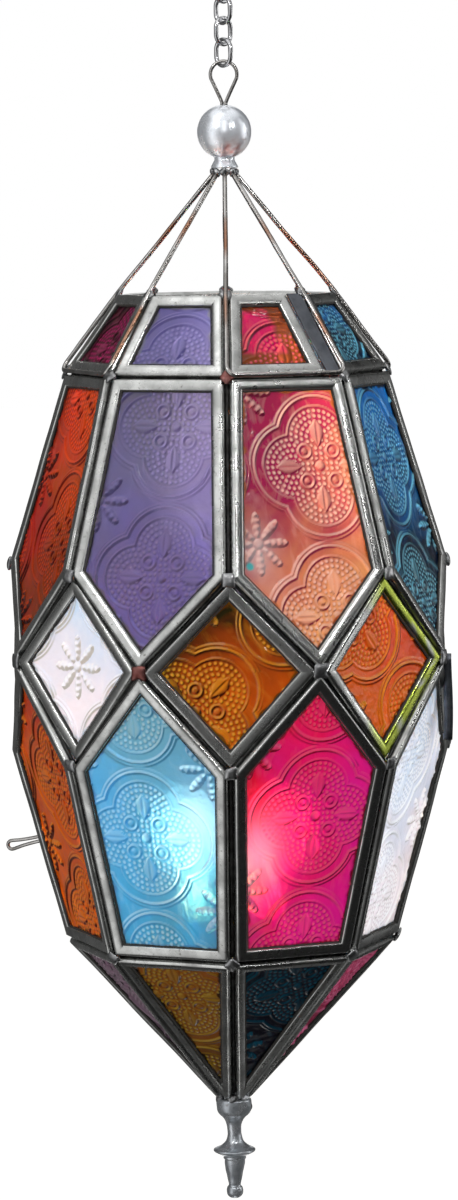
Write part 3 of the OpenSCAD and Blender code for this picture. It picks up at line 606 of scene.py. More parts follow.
def relief(x, y):
    """Height of the pressed pattern, 0 to 1.2, and where its small beads lie. x and y are mm on the sheet.
    Figures of four merged lobes on a square net: d is the distance outside the lobes' common outline, along
    which run a fine line, a soft swelling and two ridges. Inside are rows of beads round each lobe's middle,
    a petal in each lobe, curls between the petals and a boss. Between the figures are eight-petalled
    rosettes."""
    qx, qy = x - TILE * np.round(x / TILE), y - TILE * np.round(y / TILE)
    u, v = np.maximum(abs(qx), abs(qy)), np.minimum(abs(qx), abs(qy))
    from_lobe, a = np.hypot(u - LOBE_AT, v), np.arctan2(v, u - LOBE_AT)
    d = from_lobe - LOBE_R
    height = 0.65 * ridge(d, 0.4, 0.42) + ridge(d, 3.6, 0.48) + 0.55 * ridge(d, 4.8, 0.36)
    height += 0.3 * dome(d - 2.0, 1.2)
    along = (u - 10.4) / 4.4
    across = v / np.maximum(2.4 * (1 - along**2) * (1 + 0.35 * along), 0.05)
    petal = np.where(abs(along) < 1, dome(across, 1), 0)
    curl = np.hypot(abs(qx) - 4.8, abs(qy) - 4.8)
    q = np.hypot(qx, qy)
    height += 0.85 * petal - 0.4 * ridge(v, 0, 0.35) * step(petal, 0.5, 0.9)
    height += 0.7 * ridge(curl, 2.1, 0.42) + 0.5 * dome(curl, 1.1)
    height += 0.8 * dome(q, 1.6)
    ring = np.round(from_lobe / DOT_PITCH)
    count = np.maximum(np.round(2 * np.pi * ring), 1)
    off_ring = from_lobe - DOT_PITCH * ring
    turns = a * count / (2 * np.pi)
    off_dot = (turns - np.round(turns)) * 2 * np.pi / count * from_lobe
    bead = np.exp(-(off_ring**2 + off_dot**2) / DOT_R**2)
    bead *= step(-d, 0.2, 0.6) * (1 - step(petal, 0.02, 0.2)) * step(curl, 2.7, 3.1) * step(q, 2.0, 2.6)
    height += 0.55 * bead
    rx, ry = x - TILE * (np.floor(x / TILE) + 0.5), y - TILE * (np.floor(y / TILE) + 0.5)
    r, b = np.hypot(rx, ry), np.arctan2(ry, rx)
    lobes = 0.5 + 0.5 * np.cos(8 * b)
    leaf = step(2.2 + 8.0 * lobes**0.8 - r, 0, 0.5) * step(r, 1.7, 2.4)
    height += leaf * (0.25 + 0.75 * lobes**2) * (1 - 0.25 * np.cos(2 * np.pi * r / 2.1))
    height += 0.9 * dome(r, 1.7)
    return np.clip(height, 0, 1.2), bead


def pane_grid(edge, cell):
    """Rows of points, about cell mm apart, from side to side of a convex outline."""
    corner_y = np.unique(np.round(edge[:, 1], 6))
    for end, inward in ((corner_y[0], TIP), (corner_y[-1], -TIP)):
        if np.sum(np.isclose(edge[:, 1], end, atol=1e-5)) == 1:
            corner_y[np.isclose(corner_y, end)] = end + inward
    spans = [np.linspace(a, b, max(2, int(round((b - a) / cell))), endpoint=False)
             for a, b in zip(corner_y[:-1], corner_y[1:])]
    rows = np.concatenate(spans + [[corner_y[-1]]])
    a, b = edge, np.roll(edge, -1, 0)
    rise = np.where(abs(b[:, 1] - a[:, 1]) < 1e-9, np.nan, b[:, 1] - a[:, 1])
    share = (rows[:, None] - a[:, 1]) / rise
    at = np.where((share > -1e-6) & (share < 1 + 1e-6), a[:, 0] + share * (b[:, 0] - a[:, 0]), np.nan)
    left, right = np.nanmin(at, 1), np.nanmax(at, 1)
    s = np.linspace(0, 1, int(np.max(right - left) / cell) + 1)
    x = left[:, None] * (1 - s) + right[:, None] * s
    return x, np.broadcast_to(rows[:, None], x.shape)


def pane_shape(tier, k, centre, turn, gap):
    """One pane: rows of points raised by the relief, over a flat back. centre is where a figure's middle
    falls on the pane, and turn how the sheet lay when the pane was cut. Its values: the relief's height and
    beads, how far its slopes face up and left, for a painted highlight, and down and right, for painted
    shade, the rim along the frame, pale spots, which are worn lacquer on the rose pane and the candle's
    painted glow on two lower panes, and blue flecks."""
    cell = 0.4 if k in (0, 1, 6, 7) else 0.5  # finer on the side of the camera
    in_frame = gap + CAME_WALL + GLASS_GAP
    if tier == "cone":
        edge, window = cone_band(in_frame, CAME_D + GLASS_GAP), cone_window(CONE_CAME_W)
    else:
        edge, window = inset(outline(tier, k), in_frame), inset(outline(tier, k), CAME_W)
    x, y = pane_grid(edge, cell)
    t = math.radians(turn)
    sx = (x - centre[0]) * math.cos(t) + (y - centre[1]) * math.sin(t)
    sy = (y - centre[1]) * math.cos(t) - (x - centre[0]) * math.sin(t)
    height, dots = relief(sx, sy)
    wave = ripple(np.stack([sx, sy], -1), 24.0, 5, 2)
    front = (CAME_D + GLASS_T) / 2 - SUNK + RELIEF_H * height + WAVE_H * wave
    back = (CAME_D - GLASS_T) / 2
    up, across = np.gradient(height, cell)
    # Painted light from the upper left: slopes that face it get painted highlight, slopes that face away
    # painted shade
    slope_to_light = 0.6 * across - 0.8 * up

    rim_w, moved_x, moved_y = RIMS.get((tier, k), (0.9, 0, 0))
    side = np.roll(window, -1, 0) - window
    side /= np.linalg.norm(side, axis=1, keepdims=True)
    px, py = x + moved_x, y + moved_y
    to_side = np.min([(py - w[1]) * e[0] - (px - w[0]) * e[1] for w, e in zip(window, side)], 0)
    uneven = 0.5 * ripple(np.stack([x, y], -1), 7.0, k + 11, 2)
    rim = 1 - step(to_side + uneven, rim_w * 0.6, rim_w * 1.2)
    at_x, at_y, reach, how_strong = WORN_AND_GLOW.get((tier, k), NOWHERE)
    pale = how_strong * np.exp(-((x - at_x) ** 2 + (0.7 * (y - at_y)) ** 2) / reach ** 2)
    at_x, at_y, reach, how_strong = FLECKS.get((tier, k), NOWHERE)
    fleck = how_strong * step(reach - np.hypot(x - at_x, y - at_y), 0, 0.8)

    n, cols = x.shape
    index = np.arange(n * cols).reshape(n, cols)
    loop = np.concatenate([index[0, :], index[1:-1, -1], index[-1, ::-1], index[-2:0:-1, 0]])
    points = np.stack([x, y, front], -1).reshape(-1, 3)
    under = points[loop] * (1, 1, 0) + (0, 0, back)
    below = n * cols + np.arange(len(loop))
    walls = np.stack([loop, below, np.roll(below, -1), np.roll(loop, -1)], -1)
    middle = (window.max(0) + window.min(0)) / 2
    values = {"sheet": np.stack([sx, sy], -1).reshape(-1, 2) / SHEET_MM,
              "pane": (points[:, :2] - middle) / np.ptp(edge[:, 1]) + 0.5,
              "dots": dots.ravel(), "rim": rim.ravel(), "ridge": height.ravel(),
              "painted_highlight": np.clip(slope_to_light, 0, 3).ravel(), "painted_shade": np.clip(-slope_to_light, 0, 3).ravel(),
              "fleck": fleck.ravel(), "pale": pale.ravel()}
    values = {key: np.concatenate([value, value[loop]]) for key, value in values.items()}
    local = np.concatenate([points, under])
    return Shape(on_face(tier, k, local), np.concatenate([grid_quads(n, cols), walls]), [below], **values)


# The panes' glass, face by face; a tier with four repeats them on its far side
GLASS = {
    "crown": ["glass_magenta", "glass_blue", "glass_maroon", "glass_violet"],
    "upper": ["glass_rose", "glass_blue", "glass_mauve", "glass_clear",
              "glass_blue", "glass_rose", "glass_red_orange", "glass_mauve"],
    "diamond": ["glass_amber", "glass_orange", "glass_clear", "glass_orange",
                "glass_amber", "glass_light_blue", "glass_crimson", "glass_clear"],
    "lower": ["glass_crimson", "glass_clear", "glass_clear", "glass_mauve",
              "glass_light_blue", "glass_amber", "glass_orange", "glass_light_blue"],
    "cone": ["glass_navy", "glass_pink", "glass_dull_mauve", "glass_olive_amber"],
}
# Panes that the photograph shows: where a figure's middle falls, in mm, and the sheet's turn in degrees
CUTS = {
    ("crown", 0): (2.0, -3.0, 0), ("crown", 7): (1.0, 0.0, 0),
    ("upper", 0): (8.5, 64.9, 0), ("upper", 1): (-2.0, 66.0, 0), ("upper", 6): (12.0, 40.0, 10),
    ("upper", 7): (4.3, 29.9, 0),
    ("diamond", 0): (-10.7, -12.4, 45), ("diamond", 1): (-12.0, 16.0, 40), ("diamond", 7): (24.2, 24.2, 0),
    ("lower", 0): (3.3, -48.4, 0), ("lower", 7): (-4.2, -55.4, 0),
    ("cone", 0): (6.0, -14.0, 20), ("cone", 7): (-2.0, -18.0, 0),
}
# Pale spots and blue flecks: the spot's middle, its reach, and how strong it is. The pale spot on the rose
# pane is lacquer worn thin; the two on the lower panes beside the candle are the candle's glow, painted
WORN_AND_GLOW = {("lower", 0): (-16.5, -60.0, 7.0, 0.55), ("lower", 7): (15.0, -48.0, 8.0, 0.35),
        ("upper", 0): (-16.0, 38.0, 6.0, 0.5)}
FLECKS = {("upper", 0): (-19.3, 33.7, 1.7, 1.0)}
NOWHERE = (0.0, 0.0, 1.0, 0.0)
# The magenta pane's rim is wide and lies off centre: its width, and how far it is moved
RIMS = {("crown", 0): (3.6, 2.3, -1.3)}
PANE_GLASS = {slot: pressed_glass(slot) for slot in TINTS}


def make_panes():
    """Every pane. In the crown and the cone a piece is a pane and the one opposite. The door has its own."""
    for tier, slots in GLASS.items():
        number = 0
        for i, slot in enumerate(slots):
            door = (tier, i) == ("lower", DOOR)
            shapes = []
            for k in range(i, SIDES, len(slots)):
                rng = np.random.default_rng(40 + k + 10 * len(tier))
                x, y, turn = CUTS.get((tier, k), (*rng.uniform(-20, 20, 2), rng.choice([0, 90, 45, 12])))
                shapes.append(pane_shape(tier, k, (x, y), turn, DOOR_GAP if door else SEAM_GAP))
            number += not door
            node = "door_glass" if door else f"{tier}_glass_{number}"
            build("pressed_" + node, shapes, PANE_GLASS[slot], "door" if door else "lantern", [node])


# Folded frames
ALONG = np.concatenate([[0, 0.012], np.linspace(0.06, 0.94, 13), [0.988]])
# A frame's section: share of its width from its outer side, and height over the back of the face
CAME_SECTION = ((0, 0.02), (0, 2.2), (0.035, 2.75), (0.09, 3.2), (0.18, 3.42), (0.34, CAME_D), (0.62, 3.47),
                (0.84, 3.38), (0.94, 3.2), (0.985, 2.9), (1, 2.5), (1, 0.3), (0.94, 0.02))
# The dark line's section: how far under the frame's lip, and height
SHADOW_LINE_SECTION = ((0.2, 2.0), (0.2, 2.95), (-0.22, 2.85), (-0.4, 2.6), (-0.4, 2.0))


def loop_shape(rings, heights, seed, unevenness=0.1):
    """A bar bent round a pane: rings holds an outline for each point of the bar's section, heights how far
    out each lies. Each side runs straight from corner to corner of every outline; the bar then bows and
    twists by a ripple."""
    rings, heights = np.asarray(rings, float), np.asarray(heights, float)
    following = np.roll(rings, -1, 1)
    s = ALONG[None, None, :, None]
    xy = rings[:, :, None] * (1 - s) + following[:, :, None] * s
    xy = xy.reshape(len(rings), -1, 2).transpose(1, 0, 2)
    centre = xy.mean(1)
    free = heights / heights.max()
    sway = ripple(centre, 26.0, seed, 2) * unevenness
    z = heights[None, :] + (ripple(centre, 31.0, seed + 50, 2) * unevenness)[:, None] * free[None, :]
    z += np.minimum(0, heights.max() - z) * 0.7
    towards = centre / np.linalg.norm(centre, axis=1, keepdims=True)
    xy = xy + (towards * sway[:, None])[:, None] * free[None, :, None]
    points = np.concatenate([xy, z[..., None]], -1)
    sharp = np.zeros(points.shape[:2], bool)
    sharp[::len(ALONG)] = True
    return points, grid_quads(*points.shape[:2], True, True), sharp


def outer_ring(tier, k, d):
    """The outline of a face, drawn in by d."""
    return cone_band(d, d) if tier == "cone" else inset(outline(tier, k), d)


def inner_ring(tier, k, d):
    """The opening of a face's frame, widened by d."""
    return cone_window(CONE_CAME_W - d) if tier == "cone" else inset(outline(tier, k), CAME_W - d)


def came_shape(tier, k, seed, gap=SEAM_GAP, stain_and_reflection=0.0):
    """A frame folded from tin strip round a pane: a box section with soft outer bends and a slim lip on the
    glass. Its tint value is a painted reflection, in patches and most on its right-hand sides."""
    wide = (CONE_CAME_W if tier == "cone" else CAME_W) - gap
    rings = [outer_ring(tier, k, gap + share * wide) if share < 0.5
             else inner_ring(tier, k, (1 - share) * wide) for share, _ in CAME_SECTION]
    points, quads, sharp = loop_shape(rings, [height for _, height in CAME_SECTION], seed)
    # A painted reflection in patches, most on the right-hand sides
    reflected = step(points[..., 0] + 3 * ripple(points, 12.0, seed), -12, 0)
    reflected *= step(ripple(points, 9.0, seed + 1), -1.2, -0.6)
    return Shape(on_face(tier, k, points), quads, sharp=sharp, stain_and_reflection=(stain_and_reflection * reflected).ravel())


def shadow_line_shape(tier, k, seed):
    """A dark line of painted shadow along a frame's lip: a low bead on the glass."""
    rings = [inner_ring(tier, k, d) for d, _ in SHADOW_LINE_SECTION]
    points, quads, sharp = loop_shape(rings, [height for _, height in SHADOW_LINE_SECTION], seed, 0.05)
    return Shape(on_face(tier, k, points), quads, sharp=sharp)


def make_frames():
    """Each tier's frames and the dark lines of painted shadow along their lips, then the door's. One
    diamond's frame carries a painted yellow-green reflection.
    """
    for tier in TIERS:
        places = [k for k in range(SIDES) if (tier, k) != ("lower", DOOR)]
        shapes = []
        for k in places:
            # One diamond's frame carries a painted yellow-green reflection
            stain_and_reflection = 0.85 if (tier, k) == ("diamond", 1) else 0.0
            shapes.append(came_shape(tier, k, 100 + 9 * k + len(tier), stain_and_reflection=stain_and_reflection))
        build("folded_" + tier + "_frames", shapes, TINPLATE, "lantern", [tier + "_frames"])
        # Dark lines of painted shadow along the frames' lips
        build(tier + "_putty", [shadow_line_shape(tier, k, 300 + k) for k in places], SHADOW_LINE, "lantern")
    frame_shape = came_shape("lower", DOOR, 777, DOOR_GAP)
    build("folded_door_frame", [frame_shape], TINPLATE, "door", ["door_frame"])
    # The door's dark line of painted shadow
    build("door_putty", [shadow_line_shape("lower", DOOR, 778)], SHADOW_LINE, "door")


# Solder between the frames
def line_shape(a, b, out, radius, seed, reach=0.9):
    """Solder in a groove from a to b: a rod of uneven thickness, reach mm out of the corner line."""
    s = np.linspace(0.02, 0.98, 22)[:, None]
    path = np.asarray(a) * (1 - s) + np.asarray(b) * s + np.asarray(out) * reach
    path = path + ripple(path, 6.0, seed, 2)[:, None] * 0.08
    size = radius * (1 + 0.18 * ripple(path, 5.0, seed + 1, 2))
    return wire_shape(path, size, out, 8)


def make_seams():
    """Rods of dull solder in the grooves between the frames, none beside the door. k counts the corners, and
    the grooves along the tiers' edges lie between one corner and the next."""
    shapes = []
    for k in range(SIDES):
        az, mid = STEP * k, STEP * k + STEP / 2
        crown, shoulder = corner(az, CROWN_R, CROWN_Z), corner(az, SHOULDER_R, SHOULDER_RISE)
        belt, low = corner(az, BELT_R, DIAMOND_RISE), corner(az, LOW_R, -DIAMOND_DROP)
        tray, nose = corner(az, TRAY_R, TRAY_Z), corner(az, NOSE_R, NOSE_Z)
        next_shoulder = corner(az + STEP, SHOULDER_R, SHOULDER_RISE)
        next_tray = corner(az + STEP, TRAY_R, TRAY_Z)
        over, under = outward(mid, (CROWN_TILT + UPPER_TILT) / 2), outward(mid, (LOWER_TILT + CONE_TILT) / 2)
        shapes.append(line_shape(shoulder, belt, outward(az, UPPER_LEAN), 0.62, k))
        shapes.append(line_shape(crown, shoulder, outward(az, CROWN_LEAN), 0.55, 10 + k, 0.7))
        shapes.append(line_shape(tray, nose, outward(az, CONE_LEAN), 0.6, 20 + k))
        shapes.append(line_shape(shoulder, next_shoulder, over, 0.55, 30 + k, 0.8))
        if k not in (DOOR, DOOR + 1):
            shapes.append(line_shape(low, tray, outward(az, LOWER_LEAN), 0.62, 40 + k))
        if k != DOOR:
            shapes.append(line_shape(tray, next_tray, under, 0.6, 50 + k, 0.8))
        for n, side in enumerate((-1, 1)):
            end, aside = corner(az + side * STEP / 2, MID_R, 0), az + side * STEP / 4
            up, down = outward(aside, UPPER_TILT / 2), outward(aside, LOWER_TILT / 2)
            shapes.append(line_shape(belt, end, up, 0.58, 60 + 2 * k + n, 0.85))
            if (k, side) not in ((DOOR, 1), (DOOR + 1, -1)):
                shapes.append(line_shape(low, end, down, 0.58, 80 + 2 * k + n, 0.85))
    build("seam_solder", shapes, SEAM, "lantern")


def make_beads():
    """Solder where the frames' corners meet, each a flat star that runs a little way down its seams."""
    shapes = []

    def bead(az, r, z, slope, size, fingers, turn, seed, stain_and_reflection=0.0):
        centre = out_of(az, r, z, slope, CAME_D * 0.84)
        shape = lump_shape(centre, outward(az, slope), size, seed, fingers, turn, 0.42)
        shape.values = {"stain_and_reflection": np.full(len(shape.points), stain_and_reflection)}
        shapes.append(shape)

    for k in range(SIDES):
        az = STEP * k
        over, under = (CROWN_LEAN + UPPER_LEAN) / 2, (LOWER_LEAN + CONE_LEAN) / 2
        bead(az, CROWN_R, CROWN_Z, CROWN_LEAN, 1.9, 0.25, 0, k)
        bead(az, SHOULDER_R, SHOULDER_RISE, over, 2.0, 0.35, 0, 20 + k, 0.8 if k == 0 else 0.0)
        bead(az, BELT_R, DIAMOND_RISE, UPPER_LEAN / 2, 2.1, 0.3, 45, 40 + k)
        if k != DOOR:
            bead(az + STEP / 2, MID_R, 0, 0, 2.2, 0.5, 45, 60 + k, 0.8 if k == 7 else 0.0)
        if k not in (DOOR, DOOR + 1):
            bead(az, LOW_R, -DIAMOND_DROP, LOWER_LEAN / 2, 2.0, 0.3, 45, 80 + k)
            bead(az, TRAY_R, TRAY_Z, under, 2.1, 0.3, 0, 100 + k)
    build("solder_joints", shapes, SOLDER, "lantern", ["solder_beads"])


def make_tab():
    """A loose end of tin strip that hangs straight down from the diamond's corner on the right."""
    low, high, out, count = -27.5, 0.5, MID_R * cos(STEP / 2) + CAME_D, 12
    heights = np.linspace(low, high, count)
    section = np.array([(-0.6, -0.7), (0.6, -0.75), (0.7, 0.8), (0.5, 0.9), (-0.5, 0.85), (-0.7, 0.7)])
    sway = 0.25 * np.sin((heights - low) / 6.0)
    x = out + 0.6 + 1.8 * section[None, :, 1] + sway[:, None]
    y, z = np.broadcast_to(section[None, :, 0] - 24.0, x.shape), np.broadcast_to(heights[:, None], x.shape)
    strip = Shape(np.stack([x, y, z], -1), grid_quads(*x.shape, False, True), end_rings(*x.shape),
                  sharp=np.ones(x.size))
    build("loose_tin_end", [strip], DARK_TIN, "lantern")


# Hanger
def arc(a, b, c, r, steps=10):
    """Points of the round bend of radius r at b, on the way from a to c."""
    u, v = (a - b) / np.linalg.norm(a - b), (c - b) / np.linalg.norm(c - b)
    w = math.acos(float(u @ v)) / 2
    t = r / math.tan(w)
    m = b + (u + v) / np.linalg.norm(u + v) * r / math.sin(w)
    e, f = b + u * t - m, b + v * t - m
    s = np.linspace(0, 1, steps)[:, None]
    way = e * (1 - s) + f * s
    return m + r * way / np.linalg.norm(way, axis=1, keepdims=True)


def between(a, b, steps):
    """Points of the straight way from a to b, without b."""
    s = (np.arange(steps) / steps)[:, None]
    return a * (1 - s) + b * s


def make_hanger():
    """Four hairpins of wire, each down a groove of the crown, along a pane's foot and up the next groove."""
    groove_half = math.degrees(math.acos(math.hypot(sin(CROWN_TILT), cos(CROWN_TILT) * cos(STEP / 2))))
    groove_out = (WIRE_R + WIRE_GAP + SEAM_GAP) / sin(groove_half)
    slope = (CROWN_TILT + UPPER_TILT) / 2
    rim_out = CAME_D / cos((CROWN_TILT - UPPER_TILT) / 2) + WIRE_R + WIRE_GAP
    shapes = []
    for k in range(0, SIDES, 2):
        az = azimuth("crown", k)
        ends = [az - STEP / 2, az + STEP / 2]
        low = [out_of(a, SHOULDER_R, SHOULDER_RISE, slope, rim_out) for a in ends]
        top = [out_of(a, CROWN_R, CROWN_Z, CROWN_LEAN, groove_out) for a in ends]
        neck = [out_of(a, NECK_RING_R, NECK_Z - WIRE_GAP - WIRE_R, 0, 0) for a in ends]
        first, second = arc(top[0], low[0], low[1], WIRE_BEND), arc(low[0], low[1], top[1], WIRE_BEND)
        path = np.concatenate([
            between(neck[0], top[0], 16), between(top[0], first[0], 12), first,
            between(first[-1], second[0], 12)[1:], second, between(second[-1], top[1], 12)[1:],
            between(top[1], neck[1], 16), [neck[1]]])
        bow = ripple(path, 34.0, k, 2)[:, None] * np.array([0.18, 0.18, 0.08])
        path = path + bow * step(CROWN_Z + 30 - path[:, 2:], 0, 8)
        shape = wire_shape(path, WIRE_R * (1 + 0.04 * ripple(path, 5.0, k + 5)), outward(az, CROWN_TILT))
        shape.values = {"stain_and_reflection": 0.7 * step(ripple(shape.points, 38.0, k + 2, 2), 0.25, 0.6)}
        shapes.append(shape)
    build("bent_hanger_wires", shapes, WIRE, "lantern", ["hanger_wires"])


def make_neck_solder():
    """Solder that gathers the eight wires at the neck, with short webs between neighbours."""
    shapes = []
    for k in range(SIDES):
        az = STEP * k
        centre = out_of(az, NECK_RING_R + 0.6, NECK_Z - 1.3, 0, 0)
        shape = lump_shape(centre, (sin(az), -cos(az), -0.4), 1.35, 200 + k, 0.2, 90, 0.8)
        shape.values = {"stain_and_reflection": np.full(len(shape.points), 0.2 if k == 4 else 0.0)}
        shapes.append(shape)
    build("neck_solder", shapes, SOLDER, "lantern")


def make_crown_strip():
    """The plain tin strip beside the narrow crown pane: a flat bar with a bevel round its front."""
    bevel, back = 0.2, CAME_D - STRIP_T
    edge = np.array(outline("crown", 1), float)[1:3]
    near, far = edge - (STRIP_W - SEAM_GAP, 0), edge - (SEAM_GAP, 0)
    lift = np.array([(0, SEAM_GAP), (0, SEAM_GAP), (0, -SEAM_GAP), (0, -SEAM_GAP)])
    wide = np.stack([near[0], far[0], far[1], near[1]]) + lift
    points = np.concatenate([np.c_[ring, np.full(4, height)] for ring, height in (
        (wide, back), (wide, CAME_D - bevel), (inset(wide, bevel), CAME_D))])
    points = on_face("crown", 0, points)
    shape = Shape(points, grid_quads(3, 4, False, True), end_rings(3, 4), sharp=np.ones(len(points)))
    build("crown_tin_strip", [shape], DARK_TIN, "lantern", ["crown_strip"])


# Eye, ball, collar and chain
def about_axis(points, angle):
    """Points turned about the upright axis by an angle in degrees."""
    x, y = points[:, 0], points[:, 1]
    return np.stack([x * cos(angle) - y * sin(angle), x * sin(angle) + y * cos(angle), points[:, 2]], -1)


def make_eye():
    """The hanging eye: a wire up through the ball, round in a loop, and down again."""
    leg = EYE_WIRE_R + LINK_PLAY / 2
    foot = [(leg, 0, NECK_Z + COLLAR_H / 4), (leg, 0, BALL_Z), (leg, 0, BALL_Z + BALL_R - 0.5),
            (leg + 0.15, 0, BALL_Z + BALL_R + 1.2)]
    turn = np.radians(np.linspace(-30, 90, 9))
    side = np.stack([EYE_R * np.cos(turn), 0 * turn, EYE_AXIS_Z - EYE_R + EYE_R * np.sin(turn)], -1)
    right = np.concatenate([foot, side])
    path = rounded(np.concatenate([right, (right * (-1, 1, 1))[-2::-1]]), 5)
    shape = wire_shape(path, EYE_WIRE_R - WIRE_SLACK, (0, 1, 0))
    build("bent_hanging_eye", [shape], WIRE, "lantern", ["hanging_eye"])


def make_ball():
    """The ball, bored at both ends, with a reddish reflection painted towards low_front, and the flared
    collar under it.
    """
    angle = np.linspace(-66.5, 80.5, 60)
    skin = np.stack([BALL_R * cos(angle), BALL_Z + BALL_R * sin(angle)], -1)
    profile = np.concatenate([[(1.6, skin[0, 1] + 0.05)], skin, [(1.62, skin[-1, 1] - 0.1)]])
    shape = lathe_shape(profile, 96, 0.03, 3)
    # A reddish reflection of the lantern's glass, painted low in front
    low_front = np.array([0.24, -0.67, -0.7])
    near = (shape.points - (0, 0, BALL_Z)) @ low_front / BALL_R
    blotch = 0.6 + 0.4 * ripple(shape.points, 3.0, 8)
    shape.values = {"stain_and_reflection": np.exp(-np.clip(1 - near, 0, 2) / 0.11) * blotch}
    build("satin_ball", [shape], BALL, "lantern", ["ball"])

    profile = rounded([(COLLAR_FOOT_R - 0.5, NECK_Z), (COLLAR_FOOT_R, NECK_Z + 0.4),
                       (COLLAR_FOOT_R - 0.55, NECK_Z + 1.6), (COLLAR_TOP_R - 0.1, NECK_Z + 2.8),
                       (COLLAR_TOP_R, COLLAR_TOP_Z)], 5)
    build("neck_ferrule", [lathe_shape(profile, 48, 0.08, 4)], BALL, "lantern", ["neck_collar"])


def make_chain():
    """Four oval links, welded at one side, each a right angle from the next, and the ring over them."""
    bend = LINK_W / 2 - LINK_WIRE_R
    rise = LINK_L / 2 - LINK_WIRE_R - bend
    a = np.radians(np.linspace(0, 180, 19))
    top = np.stack([bend * np.cos(a), 0 * a, rise + bend * np.sin(a)], -1)
    path = np.concatenate([top, top * (-1, 1, -1)])
    weld = 1 + 0.1 * np.exp(-((path[:, 0] - bend) ** 2 + (path[:, 2] - rise) ** 2) / 1.2)
    for k in range(1, 5):
        shape = wire_shape(path, (LINK_WIRE_R - WIRE_SLACK) * weld, (0, 1, 0), 16, True)
        shape.points = about_axis(shape.points, STEP if k % 2 else -STEP)
        shape.points[:, 2] += FIRST_LINK_Z + (4 - k) * LINK_PITCH
        build(f"welded_link_{k}", [shape], CHAIN, f"link_{k}", [f"chain_link_{k}"])

    a = np.radians(np.arange(72) * 5.0)
    path = np.stack([RING_R * np.cos(a), 0 * a, RING_R * np.sin(a)], -1)
    shape = wire_shape(path, RING_WIRE_R - 0.01, (0, 1, 0), 20, True)
    shape.points = about_axis(shape.points, -STEP)
    shape.points[:, 2] += -(RING_R - RING_WIRE_R) - MID_Z
    build("plain_hanging_ring", [shape], CHAIN, "ring", ["hanging_ring"])


# Foot, door handle and candle
def make_finial():
    """The finial, from a profile stretched to the solid's depth, and the rough solder of its socket."""
    top = NOSE_Z + CAME_D * sin(CONE_TILT) - 2 * SEAM_GAP
    profile = np.array([
        (2.2, 5.0), (2.3, 0.2), (5.3, 0.0), (5.8, -1.4), (5.75, -3.5), (5.1, -5.1), (3.6, -6.6), (2.7, -8.2),
        (2.35, -10.2), (2.45, -12.6), (3.1, -14.6), (4.6, -16.0), (6.3, -16.8), (6.8, -17.2), (6.75, -17.8),
        (5.2, -18.7), (4.0, -19.3), (3.7, -19.6), (3.75, -20.2), (3.4, -20.5), (3.4, -21.0), (3.35, -22.0),
        (2.85, -24.6), (2.3, -27.0), (1.95, -28.8), (2.0, -29.4), (2.5, -30.0), (2.75, -31.2), (2.5, -32.5),
        (1.5, -33.5), (0.5, -33.75)])
    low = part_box("finial")[0].z / MM - MID_Z - top
    profile[:, 1] *= low / profile[-1, 1]
    shape = lathe_shape(rounded(profile, 4) + (0, top), 72, 0.12, 8)
    build("cast_finial", [shape], CAST, "lantern", ["finial"])
    rng = np.random.default_rng(12)
    count, socket_r = 10, 4.55
    lumps = []
    for n in range(count):
        turn, drop = n * 360 / count + rng.uniform(-9, 9), rng.uniform(-2.4, 0.6)
        centre = (socket_r * sin(turn), -socket_r * cos(turn), top + drop)
        out = np.array([sin(turn), -cos(turn), 0.35])
        lumps.append(lump_shape(centre, out, rng.uniform(1.5, 2.1), 400 + n, 0.15, 0, 0.7))
    build("socket_solder", lumps, SOLDER, "lantern")


def make_handle():
    """The door's handle: a hairpin of wire, its legs close together and its end opened into a loop."""
    full = inset(OUTLINES["lower"], (DOOR_GAP + CAME_W) / 2)
    foot = (full[4] + full[3]) / 2
    start, end = CAME_D + 0.02, CAME_D + WIRE_GAP / 2 + HANDLE_L - HANDLE_WIRE_R - 0.1
    wide, near = HANDLE_W / 2 - HANDLE_WIRE_R, 0.75
    leg = [(near, start), (near + 0.05, start + 3.5), (near + 0.25, start + 7.0), (wide - 0.1, start + 9.6),
           (wide, end - wide)]
    bend = [(wide * math.cos(t), end - wide + wide * math.sin(t)) for t in np.radians([35, 62, 90])]
    half_way = np.array(leg + bend)
    line = rounded(np.concatenate([half_way, (half_way * (-1, 1))[-2::-1]]), 5)
    path = np.stack([np.full(len(line), foot[0]), foot[1] + line[:, 0], line[:, 1]], -1)
    side = on_face("lower", DOOR, (1, 0, 0)) - on_face("lower", DOOR, (0, 0, 0))
    shape = wire_shape(on_face("lower", DOOR, path), HANDLE_WIRE_R, side, 14)
    build("wire_door_handle", [shape], WIRE, "door", ["door_handle"])


